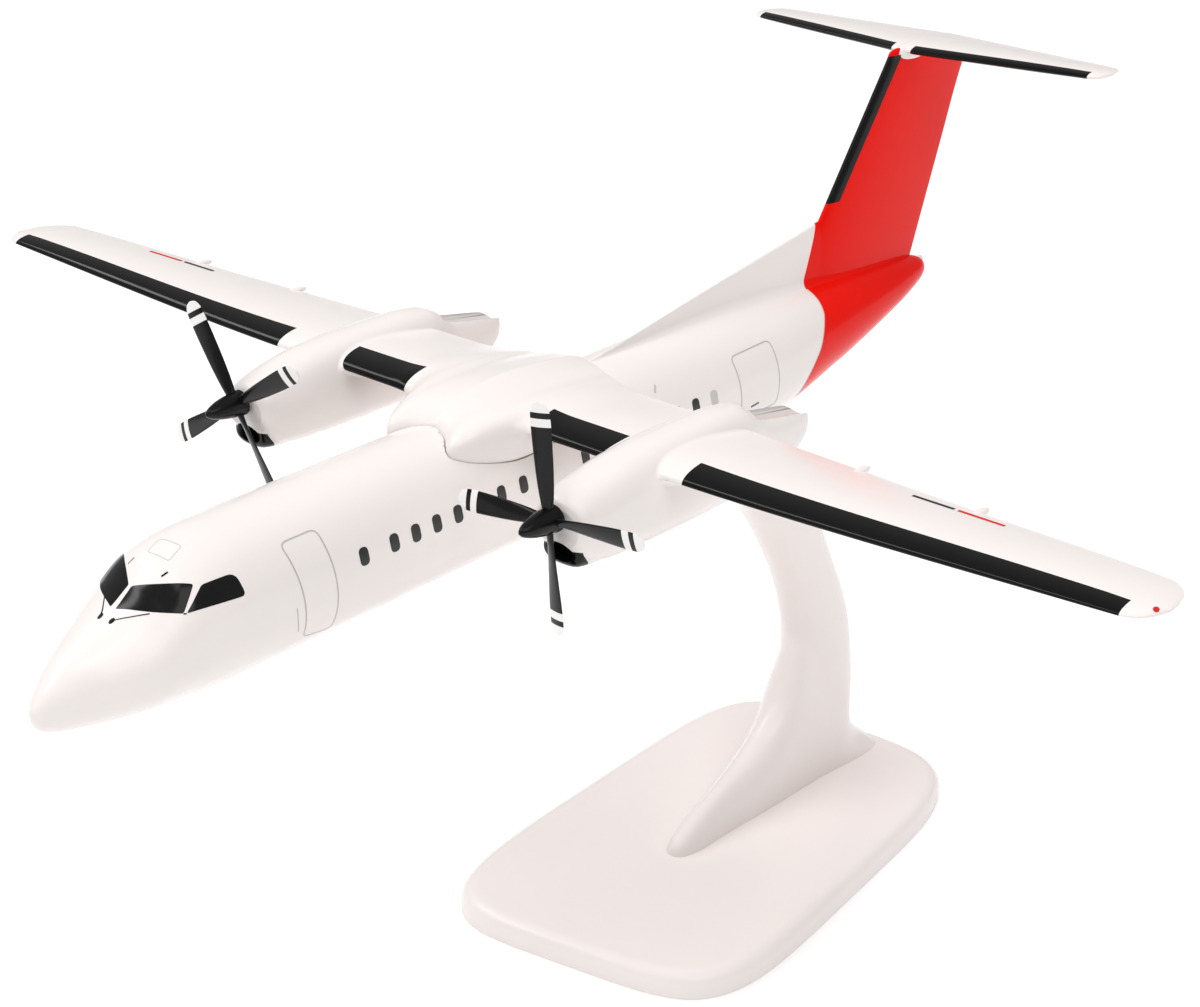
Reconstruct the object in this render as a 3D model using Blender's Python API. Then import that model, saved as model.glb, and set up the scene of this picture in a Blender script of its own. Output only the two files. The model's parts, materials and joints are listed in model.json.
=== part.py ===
"""Desk model, about 1:100, of a twin-turboprop, high-wing, T-tail regional airliner on its display stand.

The whole model stands on the underside of the stand's base, whose centre is the origin; +Z is up.
The aeroplane's own axes are: x to port, y aft from the tip of the nose, z up from the fuselage's centre line.
Its nose points along -Y. Every size below is in metres, written as millimetres times MM.
"""

import math

import bmesh
import bpy
import numpy as np
from mathutils import Matrix, Vector

MM = 0.001
CLEARANCE = 0.3 * MM

# Fuselage: length along y, and the lines of its roof, keel and sides
ROOF_LINE = [(0, -6.3), (1, -5.0), (3, -2.9), (7, 0.1), (12, 2.3), (17.4, 5.1), (21.2, 8.1), (26, 11.7), (31, 13.1),
             (37, 13.6), (165, 13.6), (200, 12.0), (221, 10.2), (236, 8.4), (241, 7.2), (243, 5.6)]
KEEL_LINE = [(0, -7.6), (1, -9.8), (3, -10.9), (7, -11.7), (12, -12.0), (20, -12.6), (30, -13.6), (158, -13.6),
             (175, -12.6), (200, -8.4), (221, -3.6), (236, 0.6), (241, 2.6), (243, 4.4)]
SIDE_LINE = [(0, 0.6), (1, 2.0), (3, 3.5), (7, 6.1), (12, 9.3), (18, 11.8), (25, 12.8), (34, 13.6), (160, 13.6),
             (180, 12.9), (200, 10.4), (221, 7.2), (236, 4.3), (241, 2.6), (243, 0.7)]
FUSELAGE_STATIONS = (0, 0.3, 1, 2, 4, 7, 11, 14.5, 17.4, 19.3, 21.2, 23.6, 26, 28.5, 31, 37, 80, 145, 155, 164, 175,
                     190, 200, 212, 224, 232, 238, 241, 242.4, 243)
TAIL_START = 145
FUSELAGE_SIDES = 32

# Wing: one moulding with the fairing that saddles the fuselage
WING_LEADING_EDGE = [(0, 88.5), (5, 87.6), (8, 88.0), (11, 91.5), (14, 95.6), (19, 97.7), (50, 97.7), (132, 97.3),
                     (134.5, 98.0), (136, 99.6), (137.15, 103.0)]
WING_TRAILING_EDGE = [(0, 139), (6, 137.5), (10, 131), (14, 125), (20, 122.2), (50, 121.6), (126, 115.3),
                      (132, 114.3), (135, 112.0), (136.4, 109.5), (137.15, 106.5)]
WING_CENTRE_HEIGHT = [(0, 12.0), (10, 12.1), (18, 12.9), (22, 13.2), (50, 14.15), (137.15, 17.4)]
WING_TOP = [(0, 5.0), (8, 4.4), (14, 3.2), (20, 2.6), (50, 2.4), (126, 1.5), (135, 1.0), (137.15, 0.35)]
WING_UNDERSIDE = [(0, 7.0), (10.6, 5.6), (12, 3.6), (15, 1.8), (20, 1.1), (50, 1.0), (126, 0.7), (137.15, 0.25)]
WING_STATIONS = (0, 5, 8, 10, 11, 12, 13.5, 15, 17, 20, 32, 50, 90, 126, 131, 134, 135.7, 136.7, 137.15)
SADDLE_RADIUS = 12.6 * MM

# Nacelles and propellers
NACELLE_X = 38.74 * MM
HUB_HEIGHT = 11.4 * MM
PROPELLER_Y = 77.1 * MM
PROPELLER_ANGLES = {"port": -5.3, "starboard": -32.0}
NACELLE_TOP = [(79.2, 14.6), (79.8, 16.0), (81.2, 16.9), (86, 17.7), (95, 18.0), (118, 17.9), (126, 17.2),
               (129.5, 15.6), (131.5, 13.6), (134, 12.9), (145.2, 10.6)]
NACELLE_BOTTOM = [(79.2, 6.0), (79.8, 4.8), (81.2, 3.4), (84, 1.7), (90, 0.8), (124, 0.2), (134, 1.6), (142, 4.2),
                  (145.2, 6.2)]
NACELLE_HALF_WIDTH = [(79.2, 4.6), (79.8, 5.7), (81.2, 6.4), (86, 7.0), (100, 7.3), (120, 6.6), (134, 4.9),
                      (142, 3.8), (145.2, 2.9)]
NACELLE_STATIONS = (79.2, 79.4, 79.8, 80.6, 82, 85, 90, 98, 108, 118, 124, 127, 129.5, 131.5, 134, 138, 142, 145.2)
NACELLE_SIDES = 24
INTAKE_LIP = (79.8, 82.4, 1.6, 7.2, 4.1)  # front y, rear y, bottom z, top z and half width of the chin intake, mm
TROUGH_RADIUS = 3.6 * MM
TROUGH_START, TROUGH_END = (130.5, 16.6), (148.0, 13.4)
SPINNER_PROFILE = [(0.0, -7.2), (0.9, -6.6), (1.7, -5.4), (2.5, -3.6), (3.05, -1.4), (3.2, 0.6), (3.0, 1.3)]
BLADE_STATIONS = (2.2, 4, 7, 11, 15, 18.5, 19.8, 20.56)
BLADE_CHORD = [(2.2, 2.0), (4, 2.7), (7, 3.6), (11, 4.2), (15, 4.2), (18.5, 3.9), (19.8, 3.2), (20.56, 1.6)]
BLADE_PITCH = [(2.2, 62.0), (11, 44.0), (20.56, 32.0)]
AXLE_RADIUS = 0.75 * MM

# Fin and tailplane
FIN_LEADING_EDGE = [(6, 190.5), (8, 192.0), (27.2, 206.2), (53.8, 226.1)]
FIN_TRAILING_EDGE = [(6, 237.6), (8, 238.4), (31.9, 248.2), (53.8, 257.0)]
FIN_THICKNESS = [(8, 4.4), (27, 3.4), (53.8, 2.6)]
DORSAL_RIDGE = [(150, 13.2), (156, 15.6), (163, 18.4), (176, 20.6), (204, 24.4), (212, 25.0)]
DORSAL_HALF_WIDTH = [(150, 5.0), (163, 4.6), (176, 3.6), (204, 1.9), (212, 1.5)]
TAILPLANE_LEADING_EDGE = [(0, 229.5), (2.5, 231.0), (40, 236.6), (42, 238.2), (42.6, 240.8)]
TAILPLANE_TRAILING_EDGE = [(0, 250.5), (30, 247.8), (40, 247.0), (42, 245.6), (42.6, 243.6)]
TAILPLANE_THICKNESS = [(0, 2.6), (40, 1.5), (42.6, 0.5)]
TAILPLANE_HEIGHT = 55.0 * MM

# Stand: base outline; the arm's centre line as (distance aft of the base's centre, height above the floor); the
# foot ridge as (distance aft, half width, height of its crest)
CENTRE_LINE_HEIGHT = 113.6 * MM
BASE_LENGTH = 115.7 * MM
BASE_WIDTH = 70.7 * MM
BASE_TAPER = 0.047
BASE_SQUARENESS = 4.2
BASE_SIDES = 56
BASE_THICKNESS = 5.2 * MM
BASE_EDGE_RADIUS = 2.6 * MM
STAND_TURN = math.radians(4.5)
NOSE_TO_BASE_CENTRE = 173.8 * MM
ARM_LINE = [(36.6, 5.5), (36.9, 9.6), (38.4, 17.6), (39.9, 27.6), (39.3, 37.6), (36.4, 47.6), (31.6, 57.6),
            (25.9, 67.6), (19.6, 77.6), (11.6, 87.6), (2.5, 97.6), (-3.5, 104.0)]
ARM_HALF_WIDTH = [(5.5, 9.4), (17.6, 8.5), (27.6, 7.7), (37.6, 7.1), (47.6, 6.7), (57.6, 6.4), (67.6, 6.6),
                  (77.6, 7.2), (104, 7.6)]
ARM_HALF_DEPTH = [(5.5, 12.6), (17.6, 11.5), (27.6, 10.4), (37.6, 9.6), (47.6, 9.0), (57.6, 8.6), (67.6, 8.9),
                  (77.6, 9.7), (88, 11.0), (104, 14.0)]
RIDGE_SECTIONS = [(-17.4, 1.0, 7.4), (-16.6, 2.4, 8.9), (-14.5, 3.5, 10.2), (-11, 4.2, 11.6), (-5, 4.7, 13.2),
                  (2, 5.4, 14.7), (9, 6.5, 16.5), (16, 7.3, 19.4), (23, 7.9, 23.0), (31, 8.8, 25.0), (42, 11.4, 17.0),
                  (49, 12.8, 11.0), (53.4, 13.2, 8.0)]
TAB_SIZE = (3.0 * MM, 8.0 * MM, 12.0 * MM)
TAB_CENTRE = (0.0, 1.0 * MM, 100.0 * MM)

# Paint: where the red tail starts on the hull and on the dorsal fillet, and the black de-icing boots
TAIL_PAINT_START = 190.0
FIN_PAINT_START = 203.0
BOOT_DEPTH = 3.0
WING_BOOTS = ((15.0, 35.0), (50.0, 132.0))
FIN_BOOT_FOOT = 27.2

WHITE = ("warm_white_plastic", (0.93, 0.90, 0.88), 0.25, 0.0)
RED = ("red_paint", (0.80, 0.035, 0.015), 0.25, 0.0)
BLACK = ("black_paint", (0.012, 0.012, 0.012), 0.25, 0.0)
STEEL = ("steel_pin", (0.55, 0.55, 0.56), 0.35, 1.0)


def clear_scene():
    """Removes the startup objects."""
    for old in list(bpy.data.objects):
        bpy.data.objects.remove(old, do_unlink=True)


def new_collection(name):
    """Adds a collection to the scene."""
    made = bpy.data.collections.new(name)
    bpy.context.scene.collection.children.link(made)
    return made


def material(finish):
    """The Principled material of a finish: its name, colour, roughness and metallic value."""
    name, colour, roughness, metallic = finish
    found = bpy.data.materials.get(name)
    if found:
        return found
    made = bpy.data.materials.new(name)
    made.use_nodes = True
    shader = made.node_tree.nodes["Principled BSDF"]
    shader.inputs["Base Color"].default_value = (*colour, 1.0)
    shader.inputs["Roughness"].default_value = roughness
    shader.inputs["Metallic"].default_value = metallic
    return made


def paint(made, finish, is_painted):
    """Gives the faces whose centre, in mm from the aeroplane's own zero, passes a test another material."""
    made.data.materials.append(material(finish))
    number = len(made.data.materials) - 1
    for face in made.data.polygons:
        if is_painted(*(face.center / MM)):
            face.material_index = number


def curve_value(points, at):
    """A smooth line through (place, value) points that never overshoots them, read at one place."""
    x, y = np.array(points, float).T
    h, slope = np.diff(x), np.diff(y) / np.diff(x)
    tangent = np.zeros(len(x))
    for i in range(1, len(x) - 1):
        if slope[i - 1] * slope[i] > 0:
            w1, w2 = 2 * h[i] + h[i - 1], h[i] + 2 * h[i - 1]
            tangent[i] = (w1 + w2) / (w1 / slope[i - 1] + w2 / slope[i])
    tangent[0], tangent[-1] = slope[0], slope[-1]
    at = min(max(at, x[0]), x[-1])
    i = min(int(np.searchsorted(x, at, side="right")) - 1, len(h) - 1)
    t = (at - x[i]) / h[i]
    return ((1 + 2 * t) * (1 - t) ** 2 * y[i] + t * (1 - t) ** 2 * h[i] * tangent[i]
            + t * t * (3 - 2 * t) * y[i + 1] + t * t * (t - 1) * h[i] * tangent[i + 1])


def mesh_object(name, bm, finish, collection, parent=None, location=(0, 0, 0)):
    """Makes an object from a bmesh, with outward normals, smooth round faces and its material."""
    bmesh.ops.recalc_face_normals(bm, faces=bm.faces)
    mesh = bpy.data.meshes.new(name)
    bm.to_mesh(mesh)
    bm.free()
    mesh.shade_smooth()
    mesh.set_sharp_from_angle(angle=math.radians(35))
    made = bpy.data.objects.new(name, mesh)
    made.location = location
    made.parent = parent
    collection.objects.link(made)
    if finish:
        mesh.materials.append(material(finish))
    return made


def loft(rings):
    """A closed bmesh through rings of equally many points, each end capped."""
    bm = bmesh.new()
    rows = [[bm.verts.new(point) for point in ring] for ring in rings]
    count = len(rows[0])
    for low, high in zip(rows, rows[1:]):
        for i in range(count):
            j = (i + 1) % count
            bm.faces.new((low[i], low[j], high[j], high[i]))
    bm.faces.new(rows[0])
    bm.faces.new(rows[-1])
    return bm


def body_ring(y, top, bottom, half_width, sides, squareness=2.0):
    """A ring across the y axis: a superellipse between two heights (mm in, metres out)."""
    ring = []
    for i in range(sides):
        a = 2 * math.pi * i / sides
        c, s = math.cos(a), math.sin(a)
        x = half_width * math.copysign(abs(c) ** (2 / squareness), c)
        z = (top + bottom) / 2 + (top - bottom) / 2 * math.copysign(abs(s) ** (2 / squareness), s)
        ring.append((x * MM, y * MM, z * MM))
    return ring


def aerofoil_ring(leading, trailing, above, below, points=9):
    """(chordwise, thickness) pairs in mm of a wing section, from the trailing edge over the top and back."""
    steps = [(1 - math.cos(math.pi * i / points)) / 2 for i in range(points + 1)]
    shape = [2.62 * math.sqrt(t) * (1 - t) ** 0.9 * (1 - 0.25 * t) + 0.08 * t for t in steps]
    chord = trailing - leading
    upper = [(leading + chord * t, above * s) for t, s in zip(steps, shape)]
    lower = [(leading + chord * t, -below * s) for t, s in zip(steps, shape)]
    return upper[::-1] + lower[1:]


def add_modifier(target, cutter, operation):
    """Adds an exact Boolean that cuts or joins another object."""
    change = target.modifiers.new(operation.title() + "_" + cutter.name, "BOOLEAN")
    change.operation = operation
    change.object = cutter
    change.solver = "EXACT"


def as_cutter(made):
    """Keeps a helper out of the model."""
    made.hide_render = True
    made.display_type = "WIRE"
    return made


def bar(name, radius, start, end, collection, parent=None, sides=24):
    """A round bar between two points."""
    start, end = Vector(start), Vector(end)
    bm = bmesh.new()
    bmesh.ops.create_cone(bm, cap_ends=True, segments=sides, radius1=radius, radius2=radius,
                          depth=(end - start).length)
    turn = Vector((0, 0, 1)).rotation_difference(end - start).to_matrix().to_4x4()
    bmesh.ops.transform(bm, matrix=Matrix.Translation((start + end) / 2) @ turn, verts=bm.verts)
    return mesh_object(name, bm, None, collection, parent)


def fuselage_rings(stations, grow=0.0):
    """Rings of the fuselage at these distances from the nose, made larger all round by grow, in mm."""
    return [body_ring(y, curve_value(ROOF_LINE, y) + grow, curve_value(KEEL_LINE, y) - grow,
                      curve_value(SIDE_LINE, y) + grow, FUSELAGE_SIDES) for y in stations]


def rear_skin(name, cutters, datum):
    """The rear fuselage's surface, a clearance larger, to cut the pieces that rest on it."""
    stations = [y for y in FUSELAGE_STATIONS if y >= TAIL_START]
    return as_cutter(mesh_object(name, loft(fuselage_rings(stations, CLEARANCE / MM)), None, cutters, datum))


def stand_tab(name, grow, collection, stand):
    """The block on the arm's top that plugs into the belly, made larger all round by grow."""
    bm = bmesh.new()
    bmesh.ops.create_cube(bm, size=1.0)
    bmesh.ops.scale(bm, vec=[side + 2 * grow for side in TAB_SIZE], verts=bm.verts)
    bmesh.ops.translate(bm, vec=TAB_CENTRE, verts=bm.verts)
    return as_cutter(mesh_object(name, bm, None, collection, stand))


def wing_rings(grow):
    """Rings of the wing from tip to tip, made larger all round by grow (mm)."""
    rings = []
    stations = [-x for x in WING_STATIONS[:0:-1]] + list(WING_STATIONS)
    for x in stations:
        span = abs(x)
        section = aerofoil_ring(curve_value(WING_LEADING_EDGE, span) - grow,
                                curve_value(WING_TRAILING_EDGE, span) + grow,
                                curve_value(WING_TOP, span) + grow, curve_value(WING_UNDERSIDE, span) + grow)
        middle = curve_value(WING_CENTRE_HEIGHT, span)
        reach = x + math.copysign(grow, x) if span == WING_STATIONS[-1] else x
        rings.append([(reach * MM, y * MM, (middle + z) * MM) for y, z in section])
    return rings


def nacelle_rings(side):
    """Rings of one nacelle; side is 1 for port and -1 for starboard."""
    rings = []
    for y in NACELLE_STATIONS:
        ring = body_ring(y, curve_value(NACELLE_TOP, y), curve_value(NACELLE_BOTTOM, y),
                         curve_value(NACELLE_HALF_WIDTH, y), NACELLE_SIDES, 2.3)
        rings.append([(px + side * NACELLE_X, py, pz) for px, py, pz in ring])
    return rings


def build_fuselage(parts, cutters, datum, stand):
    """The hull, recessed under the wing's saddle and slotted in the belly for the stand's tab."""
    hull = mesh_object("fuselage", loft(fuselage_rings(FUSELAGE_STATIONS)), WHITE, parts, datum)
    paint(hull, RED, lambda x, y, z: y > TAIL_PAINT_START)
    core_radius = SADDLE_RADIUS - CLEARANCE
    seat = as_cutter(mesh_object("wing_seat", loft(wing_rings(CLEARANCE / MM)), None, cutters, datum))
    core = as_cutter(bar("saddle_core", core_radius, (0, 70 * MM, 0), (0, 160 * MM, 0), cutters, datum, 64))
    add_modifier(seat, core, "DIFFERENCE")
    add_modifier(hull, seat, "DIFFERENCE")
    add_modifier(hull, stand_tab("belly_slot", CLEARANCE, cutters, stand), "DIFFERENCE")
    return hull


def build_wing(parts, cutters, datum):
    """The wing from tip to tip with its centre fairing, hollowed to sit over the fuselage."""
    wing = mesh_object("wing", loft(wing_rings(0)), WHITE, parts, datum)
    paint(wing, BLACK, lambda x, y, z: y < curve_value(WING_LEADING_EDGE, abs(x)) + BOOT_DEPTH
          and any(inner < abs(x) < outer for inner, outer in WING_BOOTS))
    hollow = as_cutter(bar("saddle_hollow", SADDLE_RADIUS, (0, 70 * MM, 0), (0, 160 * MM, 0), cutters, datum, 64))
    add_modifier(wing, hollow, "DIFFERENCE")
    return wing


def build_nacelle(name, side, parts, cutters, datum):
    """One nacelle, threaded on the wing, with its chin intake, exhaust trough and axle bore."""
    nacelle = mesh_object("nacelle_" + name, loft(nacelle_rings(side)), WHITE, parts, datum)
    front, rear, low, high, half = INTAKE_LIP
    lip_rings = [[(px + side * NACELLE_X, py, pz) for px, py, pz in body_ring(y, t, b, w, 20, 2.6)]
                 for y, t, b, w in ((front, high - 0.5, low + 1.4, half - 0.5), (front + 0.5, high, low + 0.7, half),
                                    (rear, high, low, half + 0.2), (rear + 4, high, low - 0.6, half))]
    lip = as_cutter(mesh_object("intake_lip_" + name, loft(lip_rings), None, cutters, datum))
    mouth_rings = [[(px + side * NACELLE_X, py, pz) for px, py, pz in body_ring(y, high - 1.0, low + 1.8, half - 1.2,
                                                                               20, 2.6)]
                   for y in (front - 1, front + 2.2)]
    mouth = as_cutter(mesh_object("intake_mouth_" + name, loft(mouth_rings), None, cutters, datum))
    x = side * NACELLE_X
    trough = as_cutter(bar("exhaust_trough_" + name, TROUGH_RADIUS, (x, TROUGH_START[0] * MM, TROUGH_START[1] * MM),
                           (x, TROUGH_END[0] * MM, TROUGH_END[1] * MM), cutters, datum, 28))
    bore = as_cutter(bar("axle_bore_" + name, AXLE_RADIUS + CLEARANCE, (x, 74 * MM, HUB_HEIGHT),
                         (x, 86.3 * MM, HUB_HEIGHT), cutters, datum, 20))
    tunnel = as_cutter(mesh_object("wing_tunnel_" + name, loft(wing_rings(CLEARANCE / MM)), None, cutters, datum))
    add_modifier(nacelle, lip, "UNION")
    for cutter in (mouth, trough, bore, tunnel):
        add_modifier(nacelle, cutter, "DIFFERENCE")
    return nacelle


def blade_mesh(angle):
    """One blade as a loft along +Z from the hub, turned about the axle by angle (degrees, from +Z towards +X)."""
    rings = []
    for r in BLADE_STATIONS:
        chord, pitch = curve_value(BLADE_CHORD, r), math.radians(curve_value(BLADE_PITCH, r))
        thick = 0.55 if r > 4 else 0.9
        ring = []
        for i in range(10):
            a = 2 * math.pi * i / 10
            u, v = chord / 2 * math.cos(a), thick / 2 * math.sin(a)
            ring.append(Vector((u * math.cos(pitch) - v * math.sin(pitch),
                                u * math.sin(pitch) + v * math.cos(pitch), r)) * MM)
        rings.append(ring)
    bm = loft(rings)
    bmesh.ops.rotate(bm, cent=(0, 0, 0), matrix=Matrix.Rotation(math.radians(angle), 3, "Y"), verts=bm.verts)
    return bm


def build_propeller(name, side, parts, cutters, datum):
    """Spinner and four blades as one moulding, bored for its axle; its origin is the hub on the axle's line."""
    hub = (side * NACELLE_X, PROPELLER_Y, HUB_HEIGHT)
    rings = [[(r * MM * math.cos(a), y * MM, r * MM * math.sin(a)) for a in np.linspace(0, 2 * math.pi, 25)[:-1]]
             for r, y in ((max(r, 0.15), y) for r, y in SPINNER_PROFILE)]
    propeller = mesh_object("propeller_" + name, loft(rings), BLACK, parts, datum, hub)
    for number in range(4):
        blade = mesh_object(f"blade_{name}_{number + 1}", blade_mesh(PROPELLER_ANGLES[name] + 90 * number), None,
                            cutters, datum, hub)
        add_modifier(propeller, as_cutter(blade), "UNION")
    bore = as_cutter(bar("hub_bore_" + name, AXLE_RADIUS + CLEARANCE, (0, -2.9 * MM, 0), (0, 4 * MM, 0), cutters,
                         None, 20))
    bore.parent, bore.location = datum, hub
    add_modifier(propeller, bore, "DIFFERENCE")
    return propeller


def build_axle(name, side, parts, datum):
    """The steel pin in the nacelle that the propeller turns on."""
    x = side * NACELLE_X
    axle = bar("axle_" + name, AXLE_RADIUS, (x, PROPELLER_Y - 2.6 * MM, HUB_HEIGHT), (x, 86 * MM, HUB_HEIGHT), parts,
               datum, 20)
    axle.data.materials.append(material(STEEL))
    return axle


def fin_rings():
    """Rings of the fin from its foot inside the hull up to the tailplane."""
    rings = []
    for z in (6, 12, 20, 27.2, 36, 45, 53.4):
        half = curve_value(FIN_THICKNESS, z) / 2
        section = aerofoil_ring(curve_value(FIN_LEADING_EDGE, z), curve_value(FIN_TRAILING_EDGE, z), half, half)
        rings.append([(x * MM, y * MM, z * MM) for y, x in section])
    return rings


def build_fin(parts, cutters, datum):
    """Fin with its long dorsal fillet, cut to sit on the fuselage."""
    fin = mesh_object("fin", loft(fin_rings()), RED, parts, datum)
    paint(fin, WHITE, lambda x, y, z: y < FIN_PAINT_START)
    paint(fin, BLACK, lambda x, y, z: z > FIN_BOOT_FOOT and y < curve_value(FIN_LEADING_EDGE, z) + BOOT_DEPTH)
    dorsal_rings = []
    for y in (150.5, 155, 160, 166, 176, 190, 204, 211):
        top, half = curve_value(DORSAL_RIDGE, y), curve_value(DORSAL_HALF_WIDTH, y)
        dorsal_rings.append([(half * u * MM, y * MM, (6 + (top - 6) * v) * MM)
                             for u, v in ((-1.6, 0), (-1.25, 0.45), (-0.8, 0.8), (-0.35, 0.97), (0, 1), (0.35, 0.97),
                                          (0.8, 0.8), (1.25, 0.45), (1.6, 0))])
    dorsal = as_cutter(mesh_object("dorsal_fillet", loft(dorsal_rings), WHITE, cutters, datum))
    add_modifier(fin, dorsal, "UNION")
    add_modifier(fin, rear_skin("fin_seat", cutters, datum), "DIFFERENCE")
    return fin


def build_tailplane(parts, datum):
    """Tailplane from tip to tip, resting on the fin."""
    rings = []
    stations = (0, 2.5, 8, 20, 32, 38, 40, 41.4, 42.2, 42.6)
    for x in [-x for x in stations[:0:-1]] + list(stations):
        half = curve_value(TAILPLANE_THICKNESS, abs(x)) / 2
        section = aerofoil_ring(curve_value(TAILPLANE_LEADING_EDGE, abs(x)),
                                curve_value(TAILPLANE_TRAILING_EDGE, abs(x)), half, half)
        rings.append([(x * MM, y * MM, TAILPLANE_HEIGHT + z * MM) for y, z in section])
    tailplane = mesh_object("tailplane", loft(rings), WHITE, parts, datum)
    paint(tailplane, BLACK, lambda x, y, z: y < curve_value(TAILPLANE_LEADING_EDGE, abs(x)) + BOOT_DEPTH / 2
          and abs(x) > 2.5)
    return tailplane


def base_ring(inset, z):
    """The base's outline at one height, drawn in by inset."""
    ring = []
    for i in range(BASE_SIDES):
        a = 2 * math.pi * i / BASE_SIDES
        c, s = math.cos(a), math.sin(a)
        across = math.copysign(abs(c) ** (2 / BASE_SQUARENESS), c)
        along = math.copysign(abs(s) ** (2 / BASE_SQUARENESS), s)
        ring.append((across * (1 - BASE_TAPER * along) * (BASE_WIDTH / 2 - inset), along * (BASE_LENGTH / 2 - inset), z))
    return ring


def build_base(parts, stand):
    """The base: a flat slab with bulging sides and a rounded upper edge."""
    rings = [base_ring(0.5 * MM, 0.0), base_ring(0.0, 0.5 * MM)]
    for i in range(4):
        a = math.pi / 2 * i / 3
        rings.append(base_ring(BASE_EDGE_RADIUS * (1 - math.cos(a)),
                               BASE_THICKNESS - BASE_EDGE_RADIUS * (1 - math.sin(a))))
    return mesh_object("stand_base", loft(rings), WHITE, parts, stand)


def build_arm(parts, cutters, stand, datum):
    """The arm that rises from the base and leans forward to the belly, with its long foot ridge and its tab."""
    rings = []
    for z in (5.5, 9, 13, 18, 27, 37, 47, 57, 66, 75, 83, 91, 98, 104):
        s = curve_value([(h, d) for d, h in ARM_LINE], z)
        rings.append([(curve_value(ARM_HALF_WIDTH, z) * math.cos(a) * MM,
                       (s + curve_value(ARM_HALF_DEPTH, z) * math.sin(a)) * MM, z * MM)
                      for a in np.linspace(0, 2 * math.pi, 25)[:-1]])
    arm = mesh_object("stand_arm", loft(rings), WHITE, parts, stand)
    ridge_rings = []
    for s, half, high in RIDGE_SECTIONS:
        ridge_rings.append([(half * u * MM, s * MM, (5.5 + (high - 5.5) * v) * MM)
                            for u, v in ((-1, 0), (-0.92, 0.3), (-0.7, 0.72), (-0.35, 0.95), (0, 1), (0.35, 0.95),
                                         (0.7, 0.72), (0.92, 0.3), (1, 0))])
    ridge = as_cutter(mesh_object("foot_ridge", loft(ridge_rings), None, cutters, stand))
    add_modifier(arm, ridge, "UNION")
    add_modifier(arm, rear_skin("belly_seat", cutters, datum), "DIFFERENCE")
    add_modifier(arm, stand_tab("tab", 0.0, cutters, stand), "UNION")
    return arm


def main():
    """Builds the model."""
    clear_scene()
    parts = new_collection("turboprop_airliner_desk_model")
    cutters = new_collection("cutters")
    datum = bpy.data.objects.new("aircraft_datum", None)
    datum.location = (0, -NOSE_TO_BASE_CENTRE, CENTRE_LINE_HEIGHT)
    stand = bpy.data.objects.new("stand_datum", None)
    stand.rotation_euler = (0, 0, STAND_TURN)
    for empty in (datum, stand):
        parts.objects.link(empty)
    build_fuselage(parts, cutters, datum, stand)
    build_wing(parts, cutters, datum)
    for name, side in (("port", 1), ("starboard", -1)):
        build_nacelle(name, side, parts, cutters, datum)
        build_propeller(name, side, parts, cutters, datum)
        build_axle(name, side, parts, datum)
    build_fin(parts, cutters, datum)
    build_tailplane(parts, datum)
    build_base(parts, stand)
    build_arm(parts, cutters, stand, datum)


main()
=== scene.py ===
"""Looks of a 1:100 desk model of a twin-turboprop airliner on its display stand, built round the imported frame.

Sizes are in millimetres. The aircraft's own axes are x to port, y aft from the tip of the nose and z up from the
fuselage's centre line; the stand's are x across its base, y aft and z up from the desk.
"""

import json
import logging
import math
from collections.abc import Callable, Sequence
from dataclasses import dataclass
from enum import Enum

import bmesh
import bpy
import numpy as np
from mathutils import Matrix, Vector


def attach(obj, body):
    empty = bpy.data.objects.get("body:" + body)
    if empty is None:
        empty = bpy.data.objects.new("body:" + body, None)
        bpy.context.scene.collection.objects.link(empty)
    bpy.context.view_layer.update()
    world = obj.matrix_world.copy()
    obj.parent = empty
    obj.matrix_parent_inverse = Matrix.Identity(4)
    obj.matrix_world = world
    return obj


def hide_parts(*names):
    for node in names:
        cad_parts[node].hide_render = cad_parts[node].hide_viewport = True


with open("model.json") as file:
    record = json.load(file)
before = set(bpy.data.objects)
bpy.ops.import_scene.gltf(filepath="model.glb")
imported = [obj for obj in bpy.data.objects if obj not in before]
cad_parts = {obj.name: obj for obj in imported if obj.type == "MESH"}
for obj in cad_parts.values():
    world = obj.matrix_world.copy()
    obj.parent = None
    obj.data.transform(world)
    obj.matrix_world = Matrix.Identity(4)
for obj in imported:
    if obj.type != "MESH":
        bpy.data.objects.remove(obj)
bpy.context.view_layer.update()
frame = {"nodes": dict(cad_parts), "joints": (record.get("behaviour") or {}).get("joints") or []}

MM = 0.001
LOG = logging.getLogger("desk_model")
# (place, value) points of a line, which along reads as a smooth one and ramp as a straight one
Line = tuple[tuple[float, float], ...]
# (start, step) of each run of stations; the last one only gives the end
Runs = tuple[tuple[float, float], ...]
# Corners of a print: (distance aft, angle from the top) on the fuselage, (x, y) on the wing
Corners = tuple[tuple[float, float], ...]
# A place, or half sizes, along x, y and z
Triple = tuple[float, float, float]
Faces = list[tuple[int, ...]]

# The propellers' hubs in the aircraft's axes
PROPELLER_Y = 77.1
HUB_HEIGHT = 11.4
# How far the stand is turned under the aircraft, in degrees
STAND_TURN = 4.5
# Play between the wing's fairing and its seat in the fuselage
FLUSH = 0.25
# How far print stands proud of the plastic, and how deep its back lies in it
PRINT_LIFT = 0.03


class Side(Enum):
    """The aircraft's two sides, each with the sign of its x."""

    PORT = 1
    STARBOARD = -1

    @property
    def label(self) -> str:
        """The side's name in piece names."""
        return self.name.lower()


# How far each propeller is parked from upright, in degrees
PARKED = {Side.PORT: -5.3, Side.STARBOARD: -32.0}


class Cut(Enum):
    """What a Boolean does with its second shape."""

    JOIN = "UNION"
    REMOVE = "DIFFERENCE"


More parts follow.
